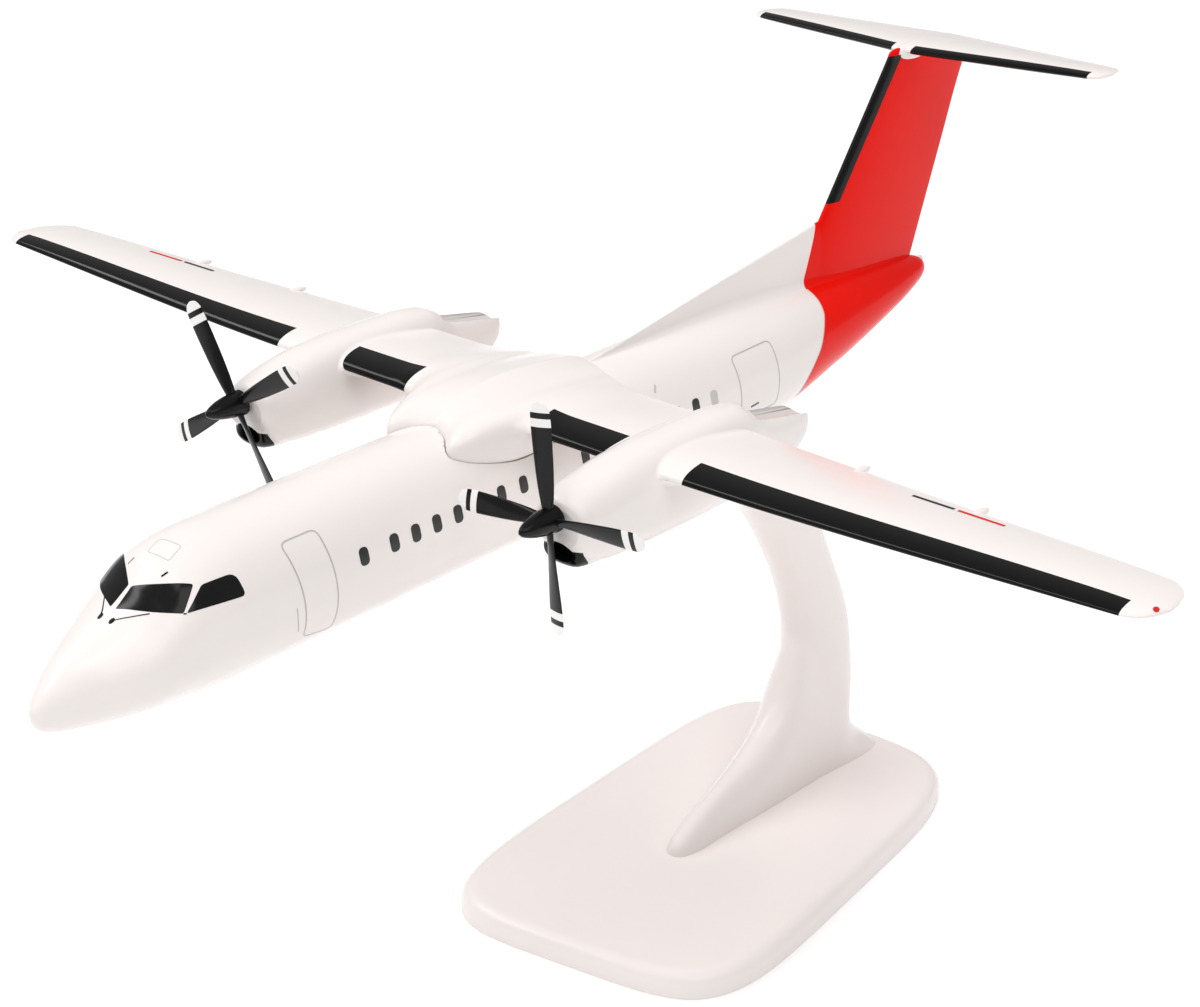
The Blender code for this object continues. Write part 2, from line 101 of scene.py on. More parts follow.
def aircraft_frame() -> Matrix:
    """The aircraft's axes in the row frame, from the port propeller's hub, which is a known point on both.

    Returns:
        A matrix that takes aircraft millimetres to row metres.
    """
    hub = next(joint["pos_m"] for joint in frame["joints"] if joint["child"] == "port_propeller")
    zero = Vector((0.0, hub[1] - PROPELLER_Y * MM, hub[2] - HUB_HEIGHT * MM))
    return Matrix.Translation(zero) @ Matrix.Scale(MM, 4)


AIRCRAFT = aircraft_frame()
STAND = Matrix.Rotation(math.radians(STAND_TURN), 4, "Z") @ Matrix.Scale(MM, 4)
NACELLE_X = abs(frame["joints"][0]["pos_m"][0]) / MM


def linear(colour: str) -> tuple[float, float, float, float]:
    """Turns an sRGB hex colour to linear light.

    Args:
        colour: The colour as "#RRGGBB".

    Returns:
        Red, green, blue and alpha.
    """
    parts = [int(colour[i:i + 2], 16) / 255 for i in (1, 3, 5)]
    red, green, blue = (p / 12.92 if p <= 0.04045 else ((p + 0.055) / 1.055) ** 2.4 for p in parts)
    return red, green, blue, 1.0


def add_node(tree: bpy.types.NodeTree, kind: str, inputs: dict | None = None, **settings: object) -> bpy.types.Node:
    """Adds a shader node.

    Args:
        tree: The node tree that gets it.
        kind: The node's type name.
        inputs: A value or another node's output socket for each named or numbered input.
        settings: The node's own properties.

    Returns:
        The node.
    """
    node = tree.nodes.new(kind)
    for key, value in settings.items():
        setattr(node, key, value)
    for key, value in (inputs or {}).items():
        if isinstance(value, bpy.types.NodeSocket):
            tree.links.new(value, node.inputs[key])
        else:
            node.inputs[key].default_value = value
    return node


@dataclass(frozen=True)
class Finish:
    """What a surface is made of and how it was made. Heights and sizes are in millimetres."""

    name: str
    colour: str
    shade: str
    roughness: float
    ior: float = 1.5
    metallic: float = 0.0
    ripple_height: float = 0.0
    ripple_size: float = 1.0
    polish_spread: float = 0.03
    drift_size: float = 30.0
    stretch: Triple = (1.0, 1.0, 1.0)
    glow: float = 0.0

    def material(self) -> bpy.types.Material:
        """Builds the material once: its colour drifts a little, its polish varies, and its skin ripples."""
        found = bpy.data.materials.get(self.name)
        if found:
            return found
        made = bpy.data.materials.new(self.name)
        made.use_nodes = True
        tree = made.node_tree
        shader = tree.nodes["Principled BSDF"]
        shader.inputs["IOR"].default_value = self.ior
        shader.inputs["Metallic"].default_value = self.metallic
        shader.inputs["Emission Color"].default_value = (1.0, 1.0, 1.0, 1.0)
        shader.inputs["Emission Strength"].default_value = self.glow
        where = add_node(tree, "ShaderNodeTexCoord").outputs["Object"]
        grain = add_node(tree, "ShaderNodeMapping", {"Vector": where, "Scale": self.stretch}).outputs["Vector"]
        cloud = add_node(tree, "ShaderNodeTexNoise", {"Vector": grain, "Scale": 1 / (self.drift_size * MM),
                                                      "Detail": 3.0}).outputs["Fac"]
        tint = add_node(tree, "ShaderNodeMix", {0: cloud, 6: linear(self.colour), 7: linear(self.shade)},
                        data_type="RGBA")
        handled = add_node(tree, "ShaderNodeTexNoise", {"Vector": grain, "Scale": 5 / (self.drift_size * MM),
                                                        "Detail": 4.0}).outputs["Fac"]
        polish = add_node(tree, "ShaderNodeMapRange", {"Value": handled, "From Min": 0.3, "From Max": 0.7,
                                                       "To Min": self.roughness - self.polish_spread,
                                                       "To Max": self.roughness + self.polish_spread})
        ripple = add_node(tree, "ShaderNodeTexNoise", {"Vector": grain, "Scale": 1 / (self.ripple_size * MM),
                                                       "Detail": 2.0}).outputs["Fac"]
        bump = add_node(tree, "ShaderNodeBump", {"Height": ripple, "Distance": self.ripple_height * MM,
                                                 "Strength": 1.0})
        tree.links.new(tint.outputs[2], shader.inputs["Base Color"])
        tree.links.new(polish.outputs["Result"], shader.inputs["Roughness"])
        tree.links.new(bump.outputs["Normal"], shader.inputs["Normal"])
        return made


# Polystyrene out of a polished mould: warm white, glossy, with the faint orange peel of a cooled skin
WHITE = Finish("moulded_gloss_polystyrene_white", "#EEE7E4", "#EBE4E1", 0.22, 1.46, ripple_height=0.0006,
               ripple_size=2.4)
# The stand is a separate shot of the same plastic, a little duller from its larger mould; its colour is painted lighter
# than the fuselage's, painted light that evens out the shade it gets low under the model
STAND_WHITE_PAINTED_LIGHTER = Finish("moulded_stand_polystyrene_white", "#F3EBE8", "#F0E8E5", 0.24, 1.5, ripple_height=0.0006,
                     ripple_size=3.0)
# Pad-printed ink: a deep even red, with little glare
RED_INK = Finish("pad_printed_red_ink", "#EC1508", "#E61106", 0.2, 1.17, ripple_height=0.0006, ripple_size=2.4)
# Gloss black lacquer of the de-icing boots: almost a mirror, with soft waves
BLACK_LACQUER = Finish("gloss_black_lacquer", "#0C0C0C", "#101010", 0.12, 1.32, ripple_height=0.001, ripple_size=2.2,
                       polish_spread=0.02)
# Black ABS straight from a shiny mould
BLACK_ABS = Finish("moulded_black_abs", "#0B0B0C", "#131314", 0.2, 1.32, ripple_height=0.001, ripple_size=1.5)
# White lacquer of the blade tips
TIP_WHITE = Finish("white_tip_lacquer", "#F2F0EE", "#EAE7E4", 0.22, ripple_height=0.001, ripple_size=1.5)
# Dark print of the cabin windows: thin ink, slightly duller than the plastic round it
WINDOW_INK = Finish("pad_printed_charcoal_ink", "#2A2A29", "#1E1E1E", 0.33, polish_spread=0.05, drift_size=2.0)
# Smoky print of the cockpit panes
PANE_INK = Finish("pad_printed_pane_black", "#0D0D0E", "#161617", 0.14, 1.35, drift_size=3.0)
# Thin grey print of panel and door lines
GREY_INK = Finish("pad_printed_grey_line", "#B4AFAC", "#BDB8B5", 0.35, drift_size=4.0)
# Light grey print of the last window
PALE_INK = Finish("pad_printed_pale_grey", "#C9C5C3", "#BDB9B7", 0.35, drift_size=4.0)
# Pale grey inside of the exhaust troughs, as glossy as the plastic round it: the white plastic painted greyer as the
# shade that fills the recess
TROUGH_PAINTED_SHADE_GREY = Finish("trough_painted_shade_grey", "#D6D1CE", "#CDC8C5", 0.24, drift_size=3.0)
# Drawn steel wire of the axle pins: fine marks run along it
STEEL = Finish("drawn_steel_wire", "#B4B4B6", "#9A9A9C", 0.32, metallic=1.0, ripple_height=0.002, ripple_size=0.3,
               stretch=(1.0, 0.05, 1.0))
# Bright red print of the port lamp and the short dashes
SIGNAL_RED = Finish("pad_printed_signal_red", "#D5261C", "#C21A12", 0.2, drift_size=2.0)
# Opal sheet of a light table, lit a little from below
LIGHT_TABLE = Finish("opal_light_table", "#EEEEEE", "#EDEDED", 0.9, drift_size=200.0, glow=0.22)


def along(line: Line, at: np.ndarray | float) -> np.ndarray:
    """Reads a smooth line through its points; it never overshoots them.

    Args:
        line: (place, value) points.
        at: The places to read.

    Returns:
        The values there.
    """
    x, y = np.array(line, float).T
    step = np.diff(x)
    slope = np.diff(y) / step
    tangent = np.zeros(len(x))
    before, after = 2 * step[1:] + step[:-1], step[1:] + 2 * step[:-1]
    same = slope[:-1] * slope[1:] > 0
    tangent[1:-1][same] = (before + after)[same] / (before[same] / slope[:-1][same] + after[same] / slope[1:][same])
    tangent[0], tangent[-1] = slope[0], slope[-1]
    at = np.clip(np.asarray(at, float), x[0], x[-1])
    i = np.clip(np.searchsorted(x, at, side="right") - 1, 0, len(step) - 1)
    t = (at - x[i]) / step[i]
    return ((1 + 2 * t) * (1 - t) ** 2 * y[i] + t * (1 - t) ** 2 * step[i] * tangent[i]
            + t * t * (3 - 2 * t) * y[i + 1] + t * t * (t - 1) * step[i] * tangent[i + 1])


def spaced(*runs: tuple[float, float]) -> np.ndarray:
    """Places from the first run's start on.

    Args:
        runs: (start, step) of each run; the last one only gives the end.

    Returns:
        The places in order, with each run's start and the end among them.
    """
    places = [np.linspace(start, end, max(1, round((end - start) / step)), endpoint=False)
              for (start, step), (end, _) in zip(runs, runs[1:])]
    return np.append(np.concatenate(places), runs[-1][0])


def ramp(line: Line, at: np.ndarray) -> np.ndarray:
    """Reads a line that runs straight from point to point."""
    return np.interp(at, *np.array(line, float).T)


def bow(count: int) -> np.ndarray:
    """Places from -1 to 1, close together at both ends."""
    return np.sin(np.linspace(-np.pi / 2, np.pi / 2, count))


def both_sides(half: np.ndarray) -> np.ndarray:
    """Places on both sides of the centre plane, from those on one side with the plane's own first."""
    return np.concatenate([-half[:0:-1], half])


def circle(sides: int) -> np.ndarray:
    """Points round a circle of radius 1."""
    angle = np.linspace(0, 2 * np.pi, sides, endpoint=False)
    return np.stack([np.cos(angle), np.sin(angle)], axis=1)


def power(value: np.ndarray, exponent: float) -> np.ndarray:
    """Raises a value's size to a power and keeps its sign."""
    return np.sign(value) * np.abs(value) ** exponent


def grid_faces(rows: int, count: int, closed: bool = True) -> Faces:
    """Quads between rings of points.

    Args:
        rows: How many rings there are.
        count: Points in each ring.
        closed: Whether a ring's last point joins its first.

    Returns:
        The faces, as numbers of points laid out ring by ring.
    """
    last = count if closed else count - 1
    return [(i * count + j, i * count + (j + 1) % count, (i + 1) * count + (j + 1) % count, (i + 1) * count + j)
            for i in range(rows - 1) for j in range(last)]


def make_piece(name: str, points: np.ndarray, faces: Faces, finishes: Sequence[Finish], slots: np.ndarray | None = None,
               place: Matrix = AIRCRAFT, crease: float = 38.0) -> bpy.types.Object:
    """Makes a mesh object with smooth round faces.

    Args:
        name: The piece's name.
        points: Its points in millimetres.
        faces: Its faces.
        finishes: Its materials, in slot order.
        slots: Each face's slot, or none where all are the first.
        place: What takes the points to the row frame.
        crease: The angle in degrees past which an edge is sharp.

    Returns:
        The object, with its origin at the row frame's.
    """
    mesh = bpy.data.meshes.new(name)
    mesh.from_pydata(np.asarray(points, float).reshape(-1, 3).tolist(), [], faces)
    for finish in finishes:
        mesh.materials.append(finish.material())
    if slots is not None:
        mesh.polygons.foreach_set("material_index", np.asarray(slots, np.int32))
    mesh.transform(place)
    bm = bmesh.new()
    bm.from_mesh(mesh)
    bmesh.ops.recalc_face_normals(bm, faces=bm.faces)
    bm.to_mesh(mesh)
    bm.free()
    made = bpy.data.objects.new(name, mesh)
    bpy.context.scene.collection.objects.link(made)
    smooth(made, crease)
    return made


def smooth(piece: bpy.types.Object, crease: float = 38.0) -> None:
    """Shades a piece smooth but for its sharp edges."""
    piece.data.shade_smooth()
    piece.data.set_sharp_from_angle(angle=math.radians(crease))


def loft(name: str, rings: np.ndarray, finishes: Sequence[Finish], slots: np.ndarray | None = None,
         place: Matrix = AIRCRAFT, crease: float = 38.0) -> bpy.types.Object:
    """Makes a closed skin through rings of points, with a cap on each end.

    Args:
        name: The piece's name.
        rings: Points in millimetres, ring by ring.
        finishes: Its materials.
        slots: The slot of each face between rings, as a grid of rings by points.
        place: What takes the points to the row frame.
        crease: The angle past which an edge is sharp.

    Returns:
        The object.
    """
    rows, count = rings.shape[:2]
    faces = grid_faces(rows, count)
    faces += [tuple(range(count)), tuple(range((rows - 1) * count, rows * count))]
    if slots is not None:
        slots = np.append(slots.ravel(), [slots[0, 0], slots[-1, 0]])
    return make_piece(name, rings, faces, finishes, slots, place, crease)


def settle(piece: bpy.types.Object) -> None:
    """Turns a piece's modifiers into its mesh."""
    bpy.context.view_layer.update()
    graph = bpy.context.evaluated_depsgraph_get()
    settled = bpy.data.meshes.new_from_object(piece.evaluated_get(graph), preserve_all_data_layers=True,
                                              depsgraph=graph)
    piece.modifiers.clear()
    piece.data = settled


def carve(piece: bpy.types.Object, cut: Cut, *others: bpy.types.Object) -> bpy.types.Object:
    """Joins other shapes to a piece or takes them out of it, and removes them.

    Args:
        piece: The piece that is changed.
        cut: What is done.
        others: The other shapes, whose materials come with their faces.

    Returns:
        The piece.
    """
    for other in others:
        change = piece.modifiers.new(cut.name, "BOOLEAN")
        change.operation = cut.value
        change.object = other
        change.solver = "EXACT"
        change.material_mode = "TRANSFER"
    settle(piece)
    for other in others:
        bpy.data.objects.remove(other)
    even = piece.modifiers.new("even_normals", "WEIGHTED_NORMAL")
    even.keep_sharp = True
    smooth(piece)
    settle(piece)
    return piece


def superellipse(centre: tuple[np.ndarray | float, np.ndarray | float], half_width: np.ndarray,
                 half_height: np.ndarray, sides: int, squareness: float = 2.0) -> tuple[np.ndarray, np.ndarray]:
    """Rings across the y axis.

    Args:
        centre: x and z of each ring's centre.
        half_width: Half of each ring's width.
        half_height: Half of its height.
        sides: Points in each ring.
        squareness: 2 for an ellipse, more for squarer corners.

    Returns:
        x and z of the points, ring by ring.
    """
    across, over = power(circle(sides).T, 2 / squareness)
    x = np.asarray(centre[0])[..., None] + np.outer(half_width, across)
    z = np.asarray(centre[1])[..., None] + np.outer(half_height, over)
    return x, z


def tube_rings(y: np.ndarray, top: np.ndarray, bottom: np.ndarray, half_width: np.ndarray, sides: int,
               squareness: float = 2.0, x: float = 0.0) -> np.ndarray:
    """Rings of a body that runs along y, between two heights; all as arrays over its stations."""
    px, pz = superellipse((np.full(len(y), x), (top + bottom) / 2), half_width, (top - bottom) / 2, sides, squareness)
    return np.stack([px, np.broadcast_to(y[:, None], px.shape), pz], axis=-1)


def rod(name: str, radius: float, start: Sequence[float], end: Sequence[float], finish: Finish,
        sides: int = 96) -> bpy.types.Object:
    """A round bar between two points of the aircraft, to cut with."""
    start, end = np.array(start, float), np.array(end, float)
    axis = (end - start) / np.linalg.norm(end - start)
    across = np.cross(axis, (1.0, 0.0, 0.0) if abs(axis[0]) < 0.9 else (0.0, 0.0, 1.0))
    across /= np.linalg.norm(across)
    rim = radius * circle(sides) @ np.stack([across, np.cross(axis, across)])
    return loft(name, np.stack([start + rim, end + rim]), (finish,))


def aerofoil(share: np.ndarray) -> np.ndarray:
    """The thickness of a wing section at shares of its chord, 1 at its thickest."""
    return 2.62 * np.sqrt(share) * (1 - share) ** 0.9 * (1 - 0.25 * share) + 0.08 * share


def chord_shares(depth: np.ndarray, nose_steps: int, rear_steps: int) -> np.ndarray:
    """Shares of the chord, close together at the leading edge, with one exactly at the boot's rear edge.

    Args:
        depth: The boot's depth as a share of each station's chord.
        nose_steps: Steps up to it.
        rear_steps: Steps behind it.

    Returns:
        The shares, station by station.
    """
    nose = (np.arange(nose_steps + 1) / nose_steps) ** 2
    rear = (1 - np.cos(np.pi * np.arange(1, rear_steps + 1) / rear_steps)) / 2
    rear = 0.6 * rear + 0.4 * np.arange(1, rear_steps + 1) / rear_steps
    depth = np.minimum(np.atleast_1d(depth), 0.7)[:, None]
    return np.concatenate([depth * nose, depth + (1 - depth) * rear], axis=1)


def nose_columns(count: int, steps: int) -> np.ndarray:
    """Which columns of a section's faces lie within some steps of its leading edge, on either side."""
    front, column = (count - 1) // 2, np.arange(count)
    return (column >= front - steps) & (column < front + steps)


def wrap_section(share: np.ndarray, leading: np.ndarray, trailing: np.ndarray, above: np.ndarray,
                 below: np.ndarray) -> tuple[np.ndarray, np.ndarray]:
    """Chordwise places and thicknesses round wing sections, from the trailing edge over the top and back."""
    leading, chord = leading[:, None], (trailing - leading)[:, None]
    place = leading + chord * share
    upper, lower = above[:, None] * aerofoil(share), -below[:, None] * aerofoil(share)
    return (np.concatenate([place[:, ::-1], place[:, 1:]], axis=1),
            np.concatenate([upper[:, ::-1], lower[:, 1:]], axis=1))


Placer = Callable[[np.ndarray, float], np.ndarray]


def rounded_outline(corners: Sequence[Sequence[float]], radius: float | Sequence[float], steps: int = 6,
                    closed: bool = True) -> np.ndarray:
    """Rounds a flat outline's corners.

    Args:
        corners: Its corners in order.
        radius: How far from each corner the rounding starts, one value or one for each.
        steps: Points on each rounding.
        closed: Whether it runs round; an open one keeps its two ends.

    Returns:
        The outline's points.
    """
    corners = np.array(corners, float)
    radii = np.broadcast_to(np.asarray(radius, float), len(corners))
    made = []
    for i, (corner, r) in enumerate(zip(corners, radii)):
        if not closed and i in (0, len(corners) - 1):
            made.append(corner[None])
            continue
        before, after = corners[i - 1] - corner, corners[(i + 1) % len(corners)] - corner
        start = corner + before / np.linalg.norm(before) * min(r, np.linalg.norm(before) / 2)
        end = corner + after / np.linalg.norm(after) * min(r, np.linalg.norm(after) / 2)
        t = np.linspace(0, 1, steps)[:, None]
        made.append((1 - t) ** 2 * start + 2 * t * (1 - t) * corner + t * t * end)
    return np.concatenate(made)


def resample(path: np.ndarray, step: float, closed: bool) -> np.ndarray:
    """Spreads points evenly along a path.

    Args:
        path: Its points.
        step: About how far apart the new ones are.
        closed: Whether it runs round.

    Returns:
        The new points.
    """
    path = np.vstack([path, path[:1]]) if closed else path
    reach = np.append(0, np.cumsum(np.linalg.norm(np.diff(path, axis=0), axis=1)))
    count = max(3, round(reach[-1] / step))
    at = np.linspace(0, reach[-1], count + 1)[:-1 if closed else None]
    return np.stack([np.interp(at, reach, axis) for axis in path.T], axis=1)


class PrintSheet:
    """Gathers thin printed shapes into one mesh; each is a closed slab that follows the surface under it."""

    def __init__(self) -> None:
        """Starts with nothing printed."""
        self.points: list[np.ndarray] = []
        self.faces: Faces = []
        self.slots: list[int] = []
        self.count = 0

    def add(self, points: np.ndarray, faces: Faces, slot: int) -> None:
        """Adds one closed shape in the given material slot."""
        self.points.append(points.reshape(-1, 3))
        self.faces += [tuple(self.count + k for k in face) for face in faces]
        self.slots += [slot] * len(faces)
        self.count += points.reshape(-1, 3).shape[0]

    def patch(self, outline: np.ndarray, place: Placer, slot: int = 0, rings: int = 4) -> None:
        """Fills an outline on a surface.

        Args:
            outline: Its points, in the surface's own two coordinates.
            place: Gives a surface's points at a lift.
            slot: The material slot.
            rings: How many rings it is filled with.
        """
        middle = outline.mean(axis=0)
        shares = np.linspace(1, 0, rings + 1)[:-1]
        under = [place(middle + (outline - middle) * share, -PRINT_LIFT) for share in shares[::-1]]
        over = [place(middle + (outline - middle) * share, PRINT_LIFT) for share in shares]
        layers = np.stack(under + over)
        rows, count = layers.shape[:2]
        ends = [place(middle[None], -PRINT_LIFT), place(middle[None], PRINT_LIFT)]
        points = np.concatenate([layers.reshape(-1, 3), *ends])
        faces = grid_faces(rows, count)
        for first, tip in ((0, rows * count), ((rows - 1) * count, rows * count + 1)):
            faces += [(first + j, first + (j + 1) % count, tip) for j in range(count)]
        self.add(points, faces, slot)

    def ribbon(self, path: np.ndarray, place: Placer, width: float, slot: int = 0, closed: bool = False) -> None:
        """Draws a line on a surface.

        Args:
            path: Its points, in the surface's own two coordinates.
            place: Gives a surface's points at a lift.
            width: The line's width.
            slot: The material slot.
            closed: Whether it runs round.
        """
        base, top = place(path, -PRINT_LIFT), place(path, PRINT_LIFT)
        ahead = np.roll(top, -1, axis=0) - np.roll(top, 1, axis=0)
        if not closed:
            ahead[0], ahead[-1] = top[1] - top[0], top[-1] - top[-2]
        across = np.cross(ahead, top - base)
        across *= width / 2 / np.linalg.norm(across, axis=1)[:, None]
        rings = np.stack([top + across, top - across, base - across, base + across], axis=1)
        rows = len(rings)
        if closed:
            rings = np.concatenate([rings, rings[:1]])
            faces = [tuple(k % (rows * 4) for k in face) for face in grid_faces(rows + 1, 4)]
            rings = rings[:-1]
        else:
            faces = grid_faces(rows, 4) + [(0, 1, 2, 3), tuple(range(rows * 4 - 4, rows * 4))]
        self.add(rings, faces, slot)

    def piece(self, name: str, finishes: Sequence[Finish]) -> bpy.types.Object:
        """Makes the mesh."""
        return make_piece(name, np.concatenate(self.points), self.faces, finishes, np.array(self.slots), crease=50.0)


def egg(name: str, centre: Triple, size: Triple, finish: Finish) -> bpy.types.Object:
    """A rounded body with the given half sizes, in the aircraft's axes."""
    over = np.linspace(-1.55, 1.55, 29)
    wide = np.cos(over)
    return loft(name, tube_rings(centre[1] + size[1] * np.sin(over), centre[2] + size[2] * wide,
                                 centre[2] - size[2] * wide, size[0] * wide, 40, x=centre[0]), (finish,))


def blend_strip(name: str, centres: np.ndarray, towards_a: np.ndarray, towards_b: np.ndarray, radius: np.ndarray,
                finishes: Sequence[Finish], steps: int = 18) -> bpy.types.Object:
    """The soft fillet that a ball leaves as it rolls along the corner between two surfaces.

    Args:
        name: The piece's name.
        centres: The ball's centres.
        towards_a: Unit directions from them to where it touches the first surface.
        towards_b: The same for the second surface.
        radius: The ball's radius at each centre.
        finishes: Its materials; all of it gets the first.
        steps: Steps across the strip.

    Returns:
        The fillet, closed behind with its back inside both surfaces.
    """
    sink, lift = 0.15, 0.012
    radius = np.broadcast_to(radius, len(centres))[:, None]
    angle = np.arccos(np.clip((towards_a * towards_b).sum(axis=1), -0.999, 0.999))[:, None]
    t = np.linspace(0, 1, steps + 1)
    arc = [(np.sin((1 - s) * angle) * towards_a + np.sin(s * angle) * towards_b) / np.sin(angle) for s in t]
    normals = np.stack(arc, axis=1)
    face = centres[:, None] + normals * (radius + lift)[:, None]
    depth = sink + 1 / np.maximum(1 + np.cos(angle), 0.4)
    corner = centres + (towards_a + towards_b) * radius * depth
    made = loft(name, np.concatenate([face, corner[:, None]], axis=1), finishes)
    inward = np.concatenate([-normals, np.zeros((len(centres), 1, 3))], axis=1).reshape(-1, 3)
    made.data.normals_split_custom_set_from_vertices(inward.tolist())
    return made


def ball_between(first: np.ndarray, second: np.ndarray, radius: float) -> tuple[np.ndarray, np.ndarray, np.ndarray]:
    """Where a ball rests between two curves of one flat section.

    Args:
        first: Points of one curve, with open space on its left.
        second: Points of the other, likewise.
        radius: The ball's radius.

    Returns:
        The ball's centre and the unit directions from it to the two curves.
    """
    lifted, normals = [], []
    for curve in (first, second):
        ahead = np.gradient(curve, axis=0)
        normal = np.stack([-ahead[:, 1], ahead[:, 0]], axis=1)
        normal /= np.linalg.norm(normal, axis=1)[:, None]
        normals.append(normal)
        lifted.append(curve + normal * radius)
    gaps = np.linalg.norm(lifted[0][:, None] - lifted[1][None], axis=2)
    i, j = np.unravel_index(np.argmin(gaps), gaps.shape)
    return (lifted[0][i] + lifted[1][j]) / 2, -normals[0][i], -normals[1][j]


@dataclass
class Hull:
    """The fuselage, with the red tail printed on it and a recess where the wing's fairing sits."""

    roof: Line = ((0, -6.3), (1, -5.0), (3, -2.9), (7, 0.1), (12, 2.3), (17.4, 5.1), (21.2, 8.1), (26, 11.7),
                  (31, 13.1), (37, 13.6), (165, 13.6), (200, 12.0), (221, 10.2), (236, 8.4), (241, 7.2), (243, 5.6))
    keel: Line = ((0, -7.6), (1, -9.8), (3, -10.9), (7, -11.7), (12, -12.0), (20, -12.6), (30, -13.6), (158, -13.6),
                  (175, -12.6), (200, -8.4), (221, -3.6), (236, 0.6), (241, 2.6), (243, 4.4))
    side: Line = ((0, 0.6), (1, 2.0), (3, 3.5), (7, 6.1), (12, 9.3), (18, 11.8), (25, 12.8), (34, 13.6), (160, 13.6),
                  (180, 12.9), (200, 10.4), (221, 7.2), (236, 4.3), (241, 2.6), (243, 0.7))
    radius: float = 13.6
    tip_rounding: float = 0.3
    around: int = 128
    paint_edge: Line = ((-13.6, 183.8), (-9.0, 184.0), (-5.0, 184.5), (-3.0, 185.2), (-0.8, 186.6), (0.9, 188.1),
                        (2.5, 189.8), (4.5, 191.5), (6.8, 193.5), (8.3, 194.9), (9.8, 195.7), (10.9, 196.1),
                        (12.4, 196.5))
    paint_station: float = 190.0
    lean: Line = ((140.0, 0.0), (paint_station, 1.0), (236.0, 0.0))
    runs: Runs = ((0, 0.1), (0.5, 0.25), (3, 0.5), (12, 0.75), (37, 3.0), (80, 2.0), (150, 2.0), (paint_station, 1.5),
                  (236, 0.5), (243, 1))
    lamp_centre: Triple = (0.0, 242.5, 5.7)
    lamp_size: Triple = (0.9, 1.1, 1.3)

    def section(self, y: np.ndarray) -> tuple[np.ndarray, np.ndarray, np.ndarray]:
        """The hull's middle height, half height and half width at these distances from the nose."""
        top, bottom, half = along(self.roof, y), along(self.keel, y), along(self.side, y)
        tip = np.sqrt(np.clip(1 - (1 - np.clip(y / self.tip_rounding, 0.02, 1)) ** 2, 0, 1))
        return (top + bottom) / 2, (top - bottom) / 2 * tip, half * tip

    def surface(self, y: np.ndarray, angle: np.ndarray, lift: float | np.ndarray = 0.0) -> np.ndarray:
        """Points on the hull.

        Args:
            y: Distances from the nose.
            angle: Angles in degrees from the top towards port.
            lift: How far above the skin they are.

        Returns:
            The points.
        """
        middle, high, wide = self.section(y)
        s, c = np.sin(np.radians(angle)), np.cos(np.radians(angle))
        out = np.stack([s * high, c * wide], axis=-1)
        out = out / np.linalg.norm(out, axis=-1)[..., None] * np.asarray(lift)[..., None]
        return np.stack([wide * s + out[..., 0], y + 0 * s, middle + high * c + out[..., 1]], axis=-1)

    def girth(self, places: np.ndarray, lift: float) -> np.ndarray:
        """Points on the hull from (distance aft, length round it from the top, as on its round middle)."""
        return self.surface(places[:, 0], np.degrees(places[:, 1] / self.radius), lift)

    def on_girth(self, corners: Corners, side: Side) -> np.ndarray:
        """(Distance aft, angle from the top) corners as (distance aft, length round the hull) on one side."""
        places = np.array(corners, float)
        return np.stack([places[:, 0], np.radians(places[:, 1]) * self.radius * side.value], axis=1)

    def tail_lamp(self) -> bpy.types.Object:
        """The white lamp at the very end."""
        return egg("tail_lamp", self.lamp_centre, self.lamp_size, WHITE)

    def places(self, points: np.ndarray) -> np.ndarray:
        """(Distance aft, length round the hull) of points near it."""
        middle, high, wide = self.section(points[:, 1])
        return np.stack([points[:, 1], np.arctan2(points[:, 0] / wide, (points[:, 2] - middle) / high) * self.radius],
                        axis=1)

    def paint_line(self, angle: np.ndarray) -> np.ndarray:
        """How far aft the red starts at each angle from the top."""
        y = np.full(len(angle), self.paint_station)
        for _ in range(12):
            y = 0.5 * y + 0.5 * along(self.paint_edge, self.surface(y, angle)[..., 2])
        return y

    def build(self, wing: "Wing") -> bpy.types.Object:
        """Builds the skin, with a ring of points along the red's front edge, and cuts the wing's seat."""
        y = spaced(*self.runs)
        angle = np.linspace(0, 360, self.around, endpoint=False)
        shift = self.paint_line(angle) - self.paint_station
        places = y[:, None] + ramp(self.lean, y)[:, None] * shift
        rings = self.surface(places, np.broadcast_to(angle, places.shape))
        slots = np.broadcast_to((y[:-1, None] >= self.paint_station - 0.01), (len(y) - 1, self.around))
        hull = loft("fuselage_shell", rings, (WHITE, RED_INK), slots.astype(int))
        seat = loft("wing_seat", wing.rings(FLUSH), (WHITE,))
        carve(seat, Cut.REMOVE, wing.saddle(-FLUSH))
        return carve(hull, Cut.REMOVE, seat)


